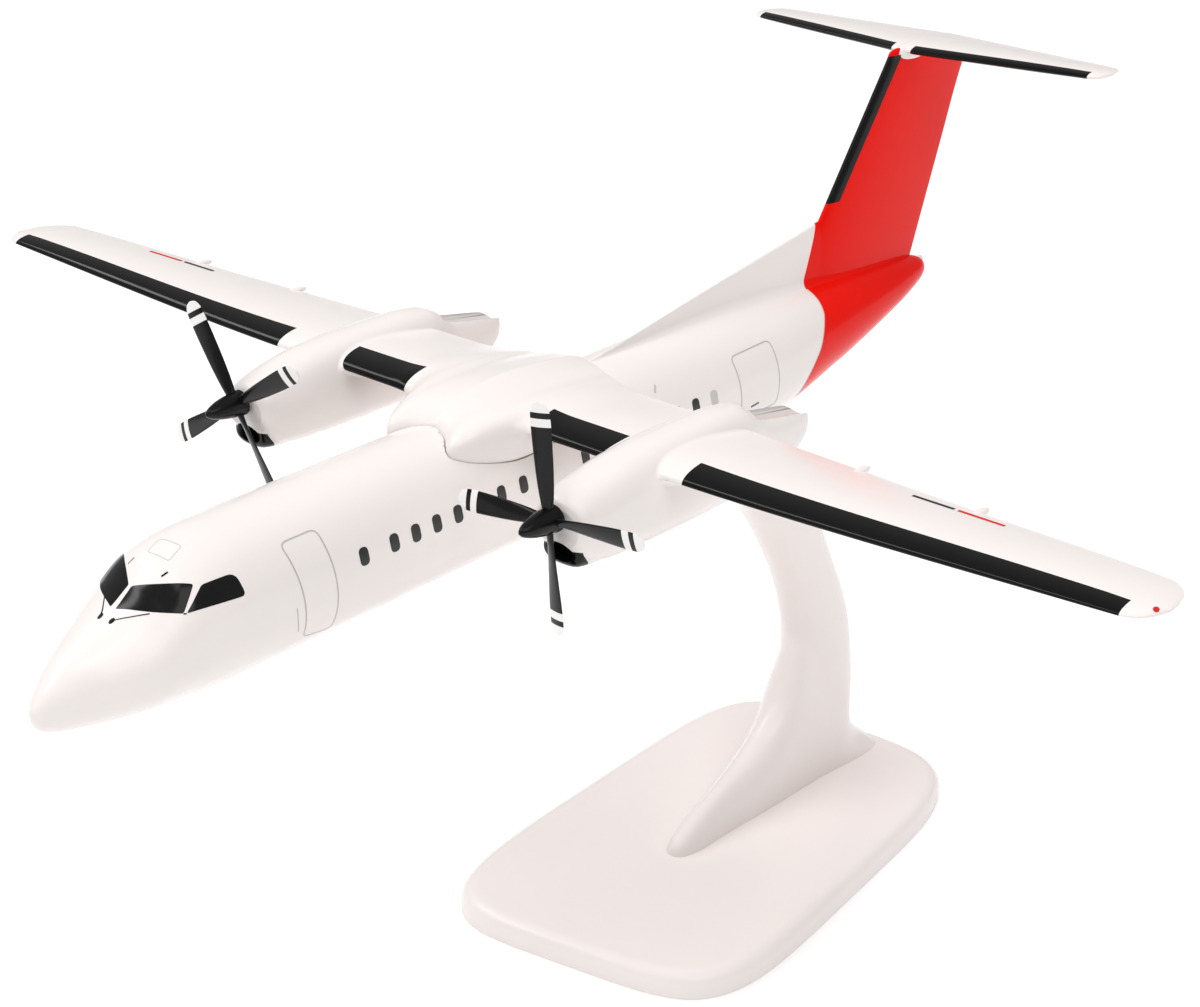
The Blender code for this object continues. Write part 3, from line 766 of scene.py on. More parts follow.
@dataclass
class Wing:
    """The wing from tip to tip in one moulding, with the centre fairing that saddles the fuselage."""

    leading: Line = ((0, 89.5), (4, 87.9), (7.7, 85.6), (9.3, 87.4), (11.3, 91.9), (13.2, 96.6), (14.8, 98.0),
                     (17, 97.8), (50, 97.7), (132, 97.6), (134.5, 98.4), (136, 100.0), (137.15, 103.0))
    trailing: Line = ((0, 128.2), (5, 127.4), (9.4, 126.0), (14.5, 124.6), (20, 124.2), (35, 123.9), (50, 122.9),
                      (70, 121.0), (90, 118.5), (126, 114.1), (132, 113.2), (135, 111.2), (136.4, 109.0),
                      (137.15, 106.0))
    centre_height: Line = ((0, 12.2), (7.7, 11.8), (11.3, 12.8), (14, 13.6), (18, 14.0), (50, 14.2), (137.15, 17.4))
    rise: Line = ((0, 3.3), (4, 3.3), (7.7, 3.0), (11.3, 1.9), (14, 0.85), (18, 0.2), (22, 0.0), (137.15, 0.0))
    top: Line = ((0, 5.0), (8, 4.4), (14, 3.2), (20, 2.6), (50, 2.4), (126, 1.5), (135, 1.0), (137.15, 0.35))
    underside: Line = ((0, 7.0), (11.6, 6.1), (12.6, 4.2), (13.8, 2.6), (15.5, 1.6), (20, 1.15), (50, 1.0),
                       (126, 0.7), (137.15, 0.25))
    fullness: Line = ((0, 1.0), (12.6, 1.0), (15.5, 0.0), (137.15, 0.0))
    half_span: float = 137.15
    saddle_radius: float = 12.6
    saddle_reach: tuple[float, float] = (70.0, 160.0)
    inner_boot: tuple[float, float] = (15.8, 35.0)
    outer_boot: tuple[float, float] = (50.0, 132.0)
    boot_depth: Line = ((15.8, 6.1), (36, 6.1), (50, 5.2), (132, 3.5))
    flap_tracks: tuple[float, ...] = (70.0, 95.5)
    track_size: Triple = (0.9, 3.2, 0.75)
    track_inset: float = 0.7
    flat_share: float = 0.35
    nose_steps: int = 12
    rear_steps: int = 22
    runs: Runs = ((0, 0.5), (inner_boot[0], 1.0), (inner_boot[1], 3.0), (outer_boot[0], 4.0), (outer_boot[1], 0.5),
                  (135, 0.25), (136.4, 0.15), (half_span, 1))

    def stations(self) -> np.ndarray:
        """Distances from the centre plane, tip to tip, with the boots' ends among them."""
        return both_sides(spaced(*self.runs))

    def saddle(self, grow: float = 0.0) -> bpy.types.Object:
        """The round core that the fairing sits over, to cut with."""
        front, rear = self.saddle_reach
        return rod("saddle", self.saddle_radius + grow, (0, front, 0), (0, rear, 0), WHITE)

    def rings(self, grow: float = 0.0) -> np.ndarray:
        """Rings from tip to tip, made larger all round by grow."""
        x = self.stations()
        span = np.abs(x)
        leading, trailing = along(self.leading, span) - grow, along(self.trailing, span) + grow
        share = chord_shares((along(self.boot_depth, span) + grow) / (trailing - leading), self.nose_steps,
                             self.rear_steps)
        over = np.where(np.arange(2 * share.shape[1] - 1) < share.shape[1], 1, -1)
        share = np.concatenate([share[:, ::-1], share[:, 1:]], axis=1)
        z = self.height(span[:, None], share, over, grow)
        reach = x + np.sign(x) * grow * (span >= self.half_span)
        return np.stack([np.broadcast_to(reach[:, None], z.shape),
                         leading[:, None] + (trailing - leading)[:, None] * share, z], axis=-1)

    def height(self, span: np.ndarray, share: np.ndarray, over: np.ndarray, grow: float = 0.0) -> np.ndarray:
        """How high the skin is.

        Args:
            span: Distances from the centre plane.
            share: How far along the chord.
            over: 1 on the upper side and -1 on the lower.
            grow: How much thicker the wing is made on each side.

        Returns:
            The heights.
        """
        fill, flat = along(self.fullness, span), self.flat_share
        rear = np.clip((share - flat) / (1 - flat), 0, 1)
        lower = (1 - fill) * aerofoil(share) + fill * aerofoil(np.minimum(share, flat)) * (1 - rear ** 5)
        thick = np.where(over > 0, (along(self.top, span) + grow) * aerofoil(share),
                         -(along(self.underside, span) + grow) * lower)
        return along(self.centre_height, span) + along(self.rise, span) * share + thick

    def contour(self, x: np.ndarray, share: np.ndarray, over: np.ndarray) -> np.ndarray:
        """Points on the wing's skin.

        Args:
            x: Their distances from the centre plane.
            share: How far along the chord.
            over: 1 on the upper side and -1 on the lower.

        Returns:
            The points.
        """
        span = np.abs(x)
        leading, trailing = along(self.leading, span), along(self.trailing, span)
        return np.stack([x, leading + (trailing - leading) * share, self.height(span, share, over)], axis=-1)

    def upper(self, places: np.ndarray, lift: float) -> np.ndarray:
        """Points a lift above the wing's upper side, from (x, y)."""
        x, y = places.T
        leading, trailing = along(self.leading, np.abs(x)), along(self.trailing, np.abs(x))
        made = self.contour(x, np.clip((y - leading) / (trailing - leading), 0, 1), np.ones(len(x)))
        made[:, 2] += lift
        return made

    def build(self) -> bpy.types.Object:
        """Builds the wing with its black boots and hollows it to sit over the fuselage."""
        x = self.stations()
        rings = self.rings()
        middle = np.abs(x[:-1] + x[1:]) / 2
        booted = np.zeros(len(middle), bool)
        for inner, outer in (self.inner_boot, self.outer_boot):
            booted |= (middle > inner) & (middle < outer)
        slots = np.outer(booted, nose_columns(rings.shape[1], self.nose_steps))
        wing = loft("wing_moulding", rings, (WHITE, BLACK_LACQUER), slots.astype(int))
        tracks = []
        for side in Side:
            for span in self.flap_tracks:
                centre = (side.value * span, along(self.trailing, span) - self.track_inset,
                          along(self.centre_height, span))
                tracks.append(egg("flap_track", centre, self.track_size, WHITE))
        carve(wing, Cut.JOIN, *tracks)
        return carve(wing, Cut.REMOVE, self.saddle())


@dataclass
class Nacelle:
    """One engine nacelle, moulded with the wing: chin intake in front, exhaust trough on top behind."""

    side: Side
    top: Line = ((79.2, 12.6), (79.8, 13.7), (81.2, 14.7), (86, 16.2), (95, 17.6), (105, 18.0), (118, 17.9),
                 (125, 17.2), (128.3, 15.8), (130.8, 14.3), (134.6, 13.4), (146.2, 11.5))
    bottom: Line = ((79.2, 6.0), (79.8, 4.8), (81.2, 3.4), (84, 1.7), (90, 0.8), (124, 0.2), (134, 1.0), (140.6, 2.6),
                    (143.6, 4.1), (145.5, 6.7), (146.2, 10.0))
    half_width: Line = ((79.2, 4.4), (79.8, 5.3), (81.2, 6.0), (86, 6.8), (100, 7.3), (120, 6.6), (133, 4.9),
                        (140.6, 3.9), (144.7, 2.9), (146.2, 1.3))
    squareness: float = 2.3
    around: int = 96
    runs: Runs = ((79.2, 0.1), (80, 0.2), (82, 0.5), (90, 1.2), (124, 0.5), (134, 0.8), (143, 0.3), (146.2, 1))
    lip_front: float = 79.8
    lip_low: float = 1.6
    lip_high: float = 7.2
    lip_half: float = 4.1
    lip_underside: Line = ((0, 1.6), (0.15, 1.1), (0.5, 0.7), (1.2, 0.3), (2.6, 0.0), (4.5, -0.3), (6.6, -0.6))
    lip_brow: Line = ((0, -0.7), (0.15, -0.3), (0.5, 0.0), (6.6, 0.0))
    lip_flank: Line = ((0, -0.7), (0.15, -0.3), (0.5, 0.0), (1.2, 0.1), (2.6, 0.2), (4.5, 0.1), (6.6, 0.0))
    mouth_taper: Line = ((-1.0, 1.0), (0.0, 0.9), (0.6, 0.75), (2.4, 0.7))
    mouth_floor: float = 1.2
    mouth_roof: float = 0.4
    mouth_wall: float = 0.8
    trough_radius: float = 3.9
    trough_start: tuple[float, float] = (128.3, 16.3)
    trough_end: tuple[float, float] = (149.7, 12.4)
    chin_front: tuple[float, float] = (80.4, 5.7)
    chin_slant: float = 0.72
    fillet: float = 2.4
    fillet_thinning: float = 0.78
    fillet_nose: Line = ((0.0, 0.42), (0.2, 1.0))
    fillet_end: float = 0.985
    fillet_steps: int = 160
    half_guess: float = 7.0
    fillet_rounds: int = 5

    @property
    def x(self) -> float:
        """The nacelle's distance from the centre plane, with its side's sign."""
        return self.side.value * NACELLE_X

    def rings(self) -> np.ndarray:
        """Rings from its front face to its tail."""
        y = spaced(*self.runs)
        return tube_rings(y, along(self.top, y), along(self.bottom, y), along(self.half_width, y), self.around,
                          self.squareness, self.x)

    def lip(self) -> bpy.types.Object:
        """The rounded chin that carries the intake."""
        y = np.array(self.lip_underside)[:, 0]
        low, high = self.lip_low + along(self.lip_underside, y), self.lip_high + along(self.lip_brow, y)
        half = self.lip_half + along(self.lip_flank, y)
        return loft("lip_" + self.side.label, tube_rings(y + self.lip_front, high, low, half, 48, 2.6, self.x),
                    (WHITE,))

    def mouth(self) -> bpy.types.Object:
        """The intake's mouth, to cut with; its black wall stays in the nacelle."""
        y, size = np.array(self.mouth_taper).T
        low, high = self.lip_low + self.mouth_floor, self.lip_high - self.mouth_roof
        middle, reach = (low + high) / 2, (high - low) / 2 * size
        rings = tube_rings(y + self.lip_front, middle + reach, middle - reach, (self.lip_half - self.mouth_wall) * size,
                           40, 2.4, self.x)
        return loft("mouth_" + self.side.label, rings, (BLACK_ABS,))

    def build(self) -> bpy.types.Object:
        """Builds the nacelle with its intake and trough."""
        shell = loft(f"nacelle_{self.side.label}_shell", self.rings(), (WHITE,))
        # The trough's cut leaves its inside in pale grey, which is painted shade on the white plastic
        trough = rod("trough_" + self.side.label, self.trough_radius, (self.x, *self.trough_start),
                     (self.x, *self.trough_end), TROUGH_PAINTED_SHADE_GREY, 64)
        carve(shell, Cut.JOIN, self.lip())
        carve(shell, Cut.REMOVE, self.mouth(), trough)
        shell.data.materials.append(BLACK_LACQUER.material())
        chin = (self.x, *self.chin_front)
        repaint(shell, ((chin, (0, 0, 1)), (chin, (0, 1, self.chin_slant))), 0, len(shell.data.materials) - 1)
        return shell

    def skin_point(self, y: np.ndarray, z: np.ndarray, radius: np.ndarray) -> tuple[np.ndarray, np.ndarray]:
        """Where a ball beside the nacelle touches it.

        Args:
            y: The ball's distance aft.
            z: Its height.
            radius: Its radius.

        Returns:
            How far out from the nacelle's middle its centre is, and the outward unit (x, z) at the touch.
        """
        angle = np.linspace(-np.pi / 2, np.pi / 2, 241)
        out, normal = np.zeros(len(y)), np.zeros((len(y), 2))
        for i, (place, height, r) in enumerate(zip(y, z, radius)):
            top, bottom, half = (along(line, place) for line in (self.top, self.bottom, self.half_width))
            high = (top - bottom) / 2
            px = half * power(np.cos(angle), 2 / self.squareness)
            pz = high * power(np.sin(angle), 2 / self.squareness)
            n = np.stack([power(px / half, self.squareness - 1) / half, power(pz / high, self.squareness - 1) / high],
                         axis=1)
            n /= np.linalg.norm(n, axis=1)[:, None]
            lifted = np.stack([px, pz], axis=1) + n * r
            k = height - (top + bottom) / 2
            out[i] = np.interp(k, lifted[:, 1], lifted[:, 0])
            normal[i] = [np.interp(k, lifted[:, 1], n[:, 0]), np.interp(k, lifted[:, 1], n[:, 1])]
        return out, normal / np.linalg.norm(normal, axis=1)[:, None]

    def wing_fillet(self, wing: Wing, outward: int) -> bpy.types.Object:
        """The soft corner between the nacelle and the wing.

        Args:
            wing: The wing.
            outward: 1 on the nacelle's outer flank and -1 on its inner one.

        Returns:
            The fillet.
        """
        turn = np.linspace(-1, 1, self.fillet_steps + 1)
        share, over = self.fillet_end * np.abs(turn) ** 2, np.sign(turn + 1e-9)
        radius = self.fillet * (1 - self.fillet_thinning * share ** 3) * ramp(self.fillet_nose, share)
        outwards = self.side.value * outward
        flank = np.full(len(turn), self.x + outwards * (self.half_guess + self.fillet))
        for _ in range(self.fillet_rounds):
            points = wing.contour(flank, share, over)
            ahead = np.gradient(points, axis=0)
            normal = np.stack([np.zeros(len(turn)), -ahead[:, 2], ahead[:, 1]], axis=1)
            normal /= np.linalg.norm(normal, axis=1)[:, None]
            centre = points + normal * radius[:, None]
            out, beside = self.skin_point(centre[:, 1], centre[:, 2], radius)
            flank = self.x + outwards * out
        centre[:, 0] = flank
        touch = -np.stack([outwards * beside[:, 0], np.zeros(len(turn)), beside[:, 1]], axis=1)
        where = "outer" if outward > 0 else "inner"
        return blend_strip(f"nacelle_{self.side.label}_{where}_fillet", centre, -normal, touch, radius, (WHITE,))


@dataclass
class Propeller:
    """Spinner and four broad blades in one black moulding, with white bands printed on the tips."""

    side: Side
    angle: float
    spinner: Line = ((-7.2, 0.05), (-6.6, 0.7), (-5.4, 1.3), (-3.6, 1.85), (-1.4, 2.2), (0.2, 2.3), (0.6, 2.45),
                     (1.3, 2.45))
    radius: float = 20.56
    chord: Line = ((1.2, 1.9), (2.2, 2.0), (4, 2.4), (6, 2.8), (10.5, 3.4), (16.4, 3.8), (18.6, 3.7), (19.7, 3.0),
                   (20.35, 1.8), (20.56, 0.5))
    pitch: Line = ((1.2, 36.0), (2.2, 34.0), (6, 26.5), (10.5, 20.0), (16.4, 14.0), (20.56, 12.0))
    thickness: Line = ((1.2, 1.3), (2.2, 1.2), (5, 0.85), (20.56, 0.5))
    band_shares: tuple[float, float, float] = (0.79, 0.86, 0.91)
    root: float = 1.2
    tip_start: float = 19.8
    roundness: float = 1.25
    blades: int = 4
    blade_sides: int = 28
    spinner_runs: Runs = ((-7.2, 0.15), (-6.6, 0.3), (1.3, 1))
    spinner_sides: int = 72

    def blade(self, turn: float) -> bpy.types.Object:
        """One blade, turned about the axle by an angle in degrees from +z towards +x."""
        inner, dark, cap = (share * self.radius for share in self.band_shares)
        r = spaced((self.root, 0.6), (inner, 0.5), (dark, 0.4), (cap, 0.3), (self.tip_start, 0.1), (self.radius, 1))
        across, over = circle(self.blade_sides).T
        u = np.outer(along(self.chord, r) / 2, across)
        v = np.outer(along(self.thickness, r) / 2, power(over, self.roundness))
        pitch = np.radians(along(self.pitch, r))[:, None]
        x, y = u * np.cos(pitch) - v * np.sin(pitch), u * np.sin(pitch) + v * np.cos(pitch)
        z = np.broadcast_to(r[:, None], x.shape)
        a = math.radians(turn)
        rings = np.stack([x * math.cos(a) + z * math.sin(a), y, z * math.cos(a) - x * math.sin(a)], axis=-1)
        middle = (r[:-1] + r[1:]) / 2
        white = ((middle > inner) & (middle < dark)) | (middle > cap)
        slots = np.broadcast_to(white[:, None], (len(middle), self.blade_sides)).astype(int)
        return loft("blade", rings, (BLACK_ABS, TIP_WHITE), slots, Matrix.Scale(MM, 4))

    def build(self) -> bpy.types.Object:
        """Builds the propeller with its origin at the hub."""
        y = spaced(*self.spinner_runs)
        r = along(self.spinner, y)
        hub = loft(f"propeller_{self.side.label}_moulding", tube_rings(y, r, -r, r, self.spinner_sides), (BLACK_ABS,),
                   None, Matrix.Scale(MM, 4))
        carve(hub, Cut.JOIN, *(self.blade(self.angle + 360 / self.blades * number) for number in range(self.blades)))
        hub.location = AIRCRAFT @ Vector((self.side.value * NACELLE_X, PROPELLER_Y, HUB_HEIGHT))
        return hub


@dataclass
class TailFin:
    """The fin with its long dorsal fillet: red behind a straight edge, white before it, and a black boot."""

    leading: Line = ((6, 190.5), (8, 192.0), (27.2, 206.2), (54.5, 226.62))
    trailing: Line = ((6, 237.6), (8, 238.4), (31.9, 248.2), (46, 254.0), (50, 256.0), (52.4, 256.8),
                      (53.2, 256.5), (53.9, 254.5), (54.5, 250.5))
    thickness: Line = ((8, 4.4), (27, 3.4), (53.8, 2.6))
    ridge: Line = ((128.5, 13.3), (146, 15.8), (161.5, 18.1), (183.6, 21.2), (194, 22.6), (204, 24.1), (212, 25.0))
    ridge_half: Line = ((128.5, 0.6), (146, 0.6), (164, 0.75), (174, 1.05), (182, 1.25), (196, 1.4), (212, 1.4))
    ridge_spread: float = 1.6
    ridge_power: float = 2.2
    foot: float = 6.0
    crown: float = 54.5
    boot_foot: float = 27.2
    boot_depth: Line = ((27.2, 3.2), (54.5, 3.7))
    edge_foot: tuple[float, float] = (196.3, 12.3)
    edge_head: tuple[float, float] = (203.0, 25.2)
    brow_centre: Triple = (0.0, 229.5, 54.5)
    brow_size: Triple = (0.8, 2.9, 1.2)
    nose_steps: int = 9
    rear_steps: int = 26
    runs: Runs = ((foot, 1.5), (boot_foot, 1.2), (52.4, 0.15), (crown, 1))
    dorsal_reach: tuple[float, float] = (128.5, 211.0)
    fillet: Line = ((131, 0.6), (146, 1.3), (164, 2.3), (182, 3.0), (196, 2.6), (210, 1.3), (230, 0.7), (237, 0.3))
    roof_arc: tuple[float, float] = (60.0, -10.0)
    flank_reach: tuple[float, float] = (-4.0, 12.0)
    search_steps: int = 500

    def fin_rings(self) -> np.ndarray:
        """Rings from the foot, inside the hull, up to the tailplane."""
        z = spaced(*self.runs)
        half = along(self.thickness, z) / 2
        leading, trailing = along(self.leading, z), along(self.trailing, z)
        share = chord_shares(along(self.boot_depth, z) / (trailing - leading), self.nose_steps, self.rear_steps)
        y, x = wrap_section(share, leading, trailing, half, half)
        return np.stack([x, y, np.broadcast_to(z[:, None], x.shape)], axis=-1)

    def dorsal_rings(self) -> np.ndarray:
        """Rings of the dorsal fillet, from its tip on the roof to inside the fin."""
        front, rear = self.dorsal_reach
        y, u = spaced((front, 1.0), (rear, 1)), bow(41)
        x = np.outer(along(self.ridge_half, y) * self.ridge_spread, u)
        z = self.foot + np.outer(along(self.ridge, y) - self.foot, 1 - np.abs(u) ** self.ridge_power)
        return np.stack([x, np.broadcast_to(y[:, None], x.shape), z], axis=-1)

    def flank(self, y: float, z: np.ndarray) -> np.ndarray:
        """Half the width of fin or dorsal, whichever is wider, at one station."""
        rise = np.clip((z - self.foot) / (along(self.ridge, y) - self.foot), 0, 1)
        dorsal = along(self.ridge_half, y) * self.ridge_spread * (1 - rise) ** (1 / self.ridge_power)
        dorsal *= y < self.dorsal_reach[1]
        leading, trailing = along(self.leading, z), along(self.trailing, z)
        share = np.clip((y - leading) / (trailing - leading), 0, 1)
        fin = along(self.thickness, z) / 2 * aerofoil(share) * (share > 0) * (share < 1)
        return np.maximum(dorsal, fin)

    def foot_fillet(self, hull: Hull, side: Side) -> bpy.types.Object:
        """The soft corner between the dorsal and fin and the hull on one side."""
        y = spaced((self.fillet[0][0], 1.0), (self.fillet[-1][0], 1))
        radius = ramp(self.fillet, y)
        centres, to_hull, to_fin = [], [], []
        for place, r in zip(y, radius):
            middle, high, wide = hull.section(np.array(place))
            angle = np.radians(np.linspace(*self.roof_arc, self.search_steps))
            roof = np.stack([wide * np.sin(angle), middle + high * np.cos(angle)], axis=1)
            z = middle + high + np.linspace(*self.flank_reach, self.search_steps)
            edge = np.stack([self.flank(place, z), z], axis=1)
            edge = edge[edge[:, 0] > 0.02]
            centre, a, b = ball_between(roof[::-1], edge[::-1], r)
            centres.append((centre[0], place, centre[1]))
            to_hull.append((a[0], 0.0, a[1]))
            to_fin.append((b[0], 0.0, b[1]))
        mirror = np.array([side.value, 1, 1])
        strip = blend_strip(f"fin_foot_fillet_{side.label}", np.array(centres) * mirror, np.array(to_hull) * mirror,
                            np.array(to_fin) * mirror, radius, (RED_INK, WHITE))
        repaint(strip, (self.paint_plane(),), 0, 1)
        return strip

    def paint_plane(self) -> tuple[Triple, Triple]:
        """A point and the normal of the plane where white turns to red."""
        (y, z), (head_y, head_z) = self.edge_foot, self.edge_head
        return (0.0, y, z), (0.0, head_z - z, y - head_y)

    def build(self) -> bpy.types.Object:
        """Builds fin and dorsal as one piece and paints its three parts."""
        rings = self.fin_rings()
        heights = (rings[:-1, 0, 2] + rings[1:, 0, 2]) / 2
        slots = np.outer(heights > self.boot_foot, nose_columns(rings.shape[1], self.nose_steps)) * 2
        fin = loft("fin_moulding", rings, (RED_INK, WHITE, BLACK_LACQUER), slots.astype(int))
        dorsal = loft("dorsal", self.dorsal_rings(), (RED_INK,))
        carve(fin, Cut.JOIN, dorsal, egg("brow", self.brow_centre, self.brow_size, RED_INK))
        repaint(fin, (self.paint_plane(),), 0, 1)
        return fin


def repaint(piece: bpy.types.Object, planes: Sequence[tuple[Triple, Triple]], old: int, new: int) -> None:
    """Splits a piece along planes and repaints what lies behind all of them.

    Args:
        piece: The piece.
        planes: A point in the aircraft's millimetres and a normal for each.
        old: The material slot that is repainted.
        new: The slot that it gets.
    """
    bm = bmesh.new()
    bm.from_mesh(piece.data)
    sides = [(AIRCRAFT @ Vector(point), Vector(normal)) for point, normal in planes]
    for start, normal in sides:
        bmesh.ops.bisect_plane(bm, geom=[*bm.verts, *bm.edges, *bm.faces], plane_co=start, plane_no=normal)
    for face in bm.faces:
        middle = face.calc_center_median()
        if face.material_index == old and all((middle - start).dot(normal) < 0 for start, normal in sides):
            face.material_index = new
    bm.to_mesh(piece.data)
    bm.free()
    smooth(piece)


@dataclass
class Tailplane:
    """The tailplane on top of the fin, with black boots and a small fairing in the middle."""

    leading: Line = ((0, 230.6), (20, 233.45), (38, 236.0), (41.4, 236.5), (43.2, 237.4), (44.0, 239.0), (44.3, 241.0))
    trailing: Line = ((0, 250.5), (30, 247.9), (42, 246.7), (43.7, 245.2), (44.3, 242.8))
    thickness: Line = ((0, 2.54), (41.4, 1.6), (43.6, 1.0), (44.3, 0.4))
    height: float = 55.0
    boots: tuple[float, float] = (2.4, 41.4)
    boot_depth: float = 2.0
    bulb_centre: Triple = (0.0, 235.0, 54.3)
    bulb_size: Triple = (1.95, 6.4, 1.92)
    nose_steps: int = 8
    rear_steps: int = 18
    runs: Runs = ((0, 0.5), (boots[0], 1.5), (boots[1], 0.3), (43.6, 0.12), (44.3, 1))

    def build(self) -> bpy.types.Object:
        """Builds the tailplane."""
        x = both_sides(spaced(*self.runs))
        span = np.abs(x)
        leading, trailing = along(self.leading, span), along(self.trailing, span)
        thick = along(self.thickness, span) / 2
        share = chord_shares(self.boot_depth / (trailing - leading), self.nose_steps, self.rear_steps)
        y, z = wrap_section(share, leading, trailing, thick, thick)
        rings = np.stack([np.broadcast_to(x[:, None], y.shape), y, z + self.height], axis=-1)
        middle = np.abs(x[:-1] + x[1:]) / 2
        slots = np.outer((middle > self.boots[0]) & (middle < self.boots[1]),
                         nose_columns(rings.shape[1], self.nose_steps))
        return loft("tailplane_moulding", rings, (WHITE, BLACK_LACQUER), slots.astype(int))

    def fairing(self) -> bpy.types.Object:
        """The rounded fairing where the tailplane meets the fin."""
        return egg("tailplane_fairing", self.bulb_centre, self.bulb_size, WHITE)


@dataclass
class HullPrint:
    """What is printed on the fuselage: windows, doors, cockpit panes, hatch and wipers."""

    hull: Hull
    windows: tuple[float, ...] = (59.4, 66.5, 71.6, 76.7, 81.9, 87.1, 92.9, 98.6, 104.2, 115.3, 120.7, 126.1,
                                  131.4, 136.8, 142.1, 147.5)
    pale_window: float = 153.1
    window_angle: float = 76.3
    window_size: tuple[float, float] = (2.1, 3.2)
    line_width: float = 0.27
    front_door: Corners = ((44.2, 44.0), (52.0, 44.0), (53.4, 130.0), (46.4, 123.0))
    rear_door: Corners = ((161.2, 50.5), (173.9, 50.5), (174.2, 112.0), (161.4, 106.0))
    port_pane: Corners = ((21.0, 2.4), (23.4, 25.5), (26.8, 41.8), (23.3, 53.0), (19.7, 31.1), (17.5, 1.8))
    starboard_pane: Corners = ((21.0, 1.2), (24.8, 26.8), (26.8, 41.8), (23.3, 53.0), (19.7, 31.1), (17.5, 4.0))
    side_pane: Corners = ((27.8, 45.6), (33.8, 49.2), (34.2, 66.8), (23.7, 54.8))
    front_radii: tuple[float, ...] = (0.3, 4.0, 0.4, 0.4, 4.0, 0.25)
    side_radii: tuple[float, ...] = (0.4, 1.5, 1.0, 0.3)
    hinge: Corners = ((43.7, 91.5), (44.0, 102.0), (44.6, 113.2))
    access_line: Corners = ((139.0, 46.7), (137.9, 52.6))
    door_mark: Corners = ((164.7, 99.4), (167.3, 99.1))
    hatch: Corners = ((25.9, -5.6), (29.1, -7.7), (29.6, 12.6), (26.3, 16.0))
    ticks: Corners = ((24.1, -14.8), (24.5, 21.0))
    tick_reach: tuple[float, float] = (0.5, 1.0)
    wiper_arms: tuple[Corners, ...] = (((19.3, -20.3), (16.7, -9.0), (15.7, -6.1)),
                                       ((19.7, 31.0), (16.5, 11.2), (15.8, 7.9)))
    wiper_width: float = 0.3
    pivot_radius: float = 0.55
    window_rounding: float = 0.95
    door_rounding: float = 1.4
    hatch_rounding: float = 0.5
    seal_width: float = 0.25
    tick_width: float = 0.35
    hinge_width: float = 0.2
    access_width: float = 0.5
    mark_width: float = 0.4
    hatch_width: float = 0.12
    edge_width: float = 0.2
    edge_reach: float = 172.0

    def cabin(self) -> bpy.types.Object:
        """The cabin windows of both sides."""
        sheet = PrintSheet()
        wide, high = (size / 2 for size in self.window_size)
        middle = math.radians(self.window_angle) * self.hull.radius
        for side in Side:
            for y, slot in [(y, 0) for y in self.windows] + [(self.pale_window, 1)]:
                box = [(y - wide, middle - high), (y + wide, middle - high), (y + wide, middle + high),
                       (y - wide, middle + high)]
                outline = rounded_outline(box, wide * self.window_rounding) * (1, side.value)
                sheet.patch(outline, self.hull.girth, slot)
        return sheet.piece("cabin_windows", (WINDOW_INK, PALE_INK))

    def cockpit(self) -> bpy.types.Object:
        """The four cockpit panes."""
        sheet = PrintSheet()
        for side in Side:
            front = self.port_pane if side is Side.PORT else self.starboard_pane
            for corners, radii in ((front, self.front_radii), (self.side_pane, self.side_radii)):
                outline = rounded_outline(self.straight(corners, side), radii)
                sheet.patch(self.hull.places(resample(outline, 0.3, True)), self.hull.girth, 0, 12)
            seal = resample(self.straight((front[3], self.side_pane[3]), side), 0.2, False)
            sheet.ribbon(self.hull.places(seal), self.hull.girth, self.seal_width)
        aft, turn = self.tick_reach
        for y, angle in self.ticks:
            tick = self.hull.on_girth(((y - aft, angle - turn), (y + aft, angle + turn)), Side.PORT)
            sheet.ribbon(resample(tick, 0.3, False), self.hull.girth, self.tick_width)
        return sheet.piece("cockpit_panes", (PANE_INK,))

    def straight(self, corners: Corners, side: Side) -> np.ndarray:
        """Points in space on one side of the hull, from (distance aft, angle from the top) corners."""
        places = np.array(corners, float)
        return self.hull.surface(places[:, 0], places[:, 1] * side.value)

    def lines(self) -> bpy.types.Object:
        """The thin outlines of doors and hatch, and the edge of the red."""
        sheet = PrintSheet()
        for side in Side:
            for corners in (self.front_door, self.rear_door):
                outline = rounded_outline(self.hull.on_girth(corners, side), self.door_rounding)
                sheet.ribbon(resample(outline, 0.5, True), self.hull.girth, self.line_width, 0, True)
            for line, width, slot in ((self.hinge, self.hinge_width, 0), (self.access_line, self.access_width, 1),
                                      (self.door_mark, self.mark_width, 2)):
                sheet.ribbon(resample(self.hull.on_girth(line, side), 0.4, False), self.hull.girth, width, slot)
        hatch = rounded_outline(self.hull.on_girth(self.hatch, Side.PORT), self.hatch_rounding)
        sheet.ribbon(resample(hatch, 0.4, True), self.hull.girth, self.hatch_width, 1, True)
        angle = np.linspace(-self.edge_reach, self.edge_reach, 240)
        edge = np.stack([self.hull.paint_line(angle) - self.edge_width / 2, np.radians(angle) * self.hull.radius],
                        axis=1)
        sheet.ribbon(edge, self.hull.girth, self.edge_width)
        return sheet.piece("panel_lines", (GREY_INK, PALE_INK, WINDOW_INK))

    def wipers(self) -> bpy.types.Object:
        """The two windscreen wipers and their pivots."""
        sheet = PrintSheet()
        for corners in self.wiper_arms:
            arm = self.hull.on_girth(corners, Side.PORT)
            sheet.ribbon(resample(arm, 0.3, False), self.hull.girth, self.wiper_width)
            sheet.patch(arm[-1] + self.pivot_radius * circle(16), self.hull.girth, 0, 2)
        return sheet.piece("wipers", (BLACK_ABS,))


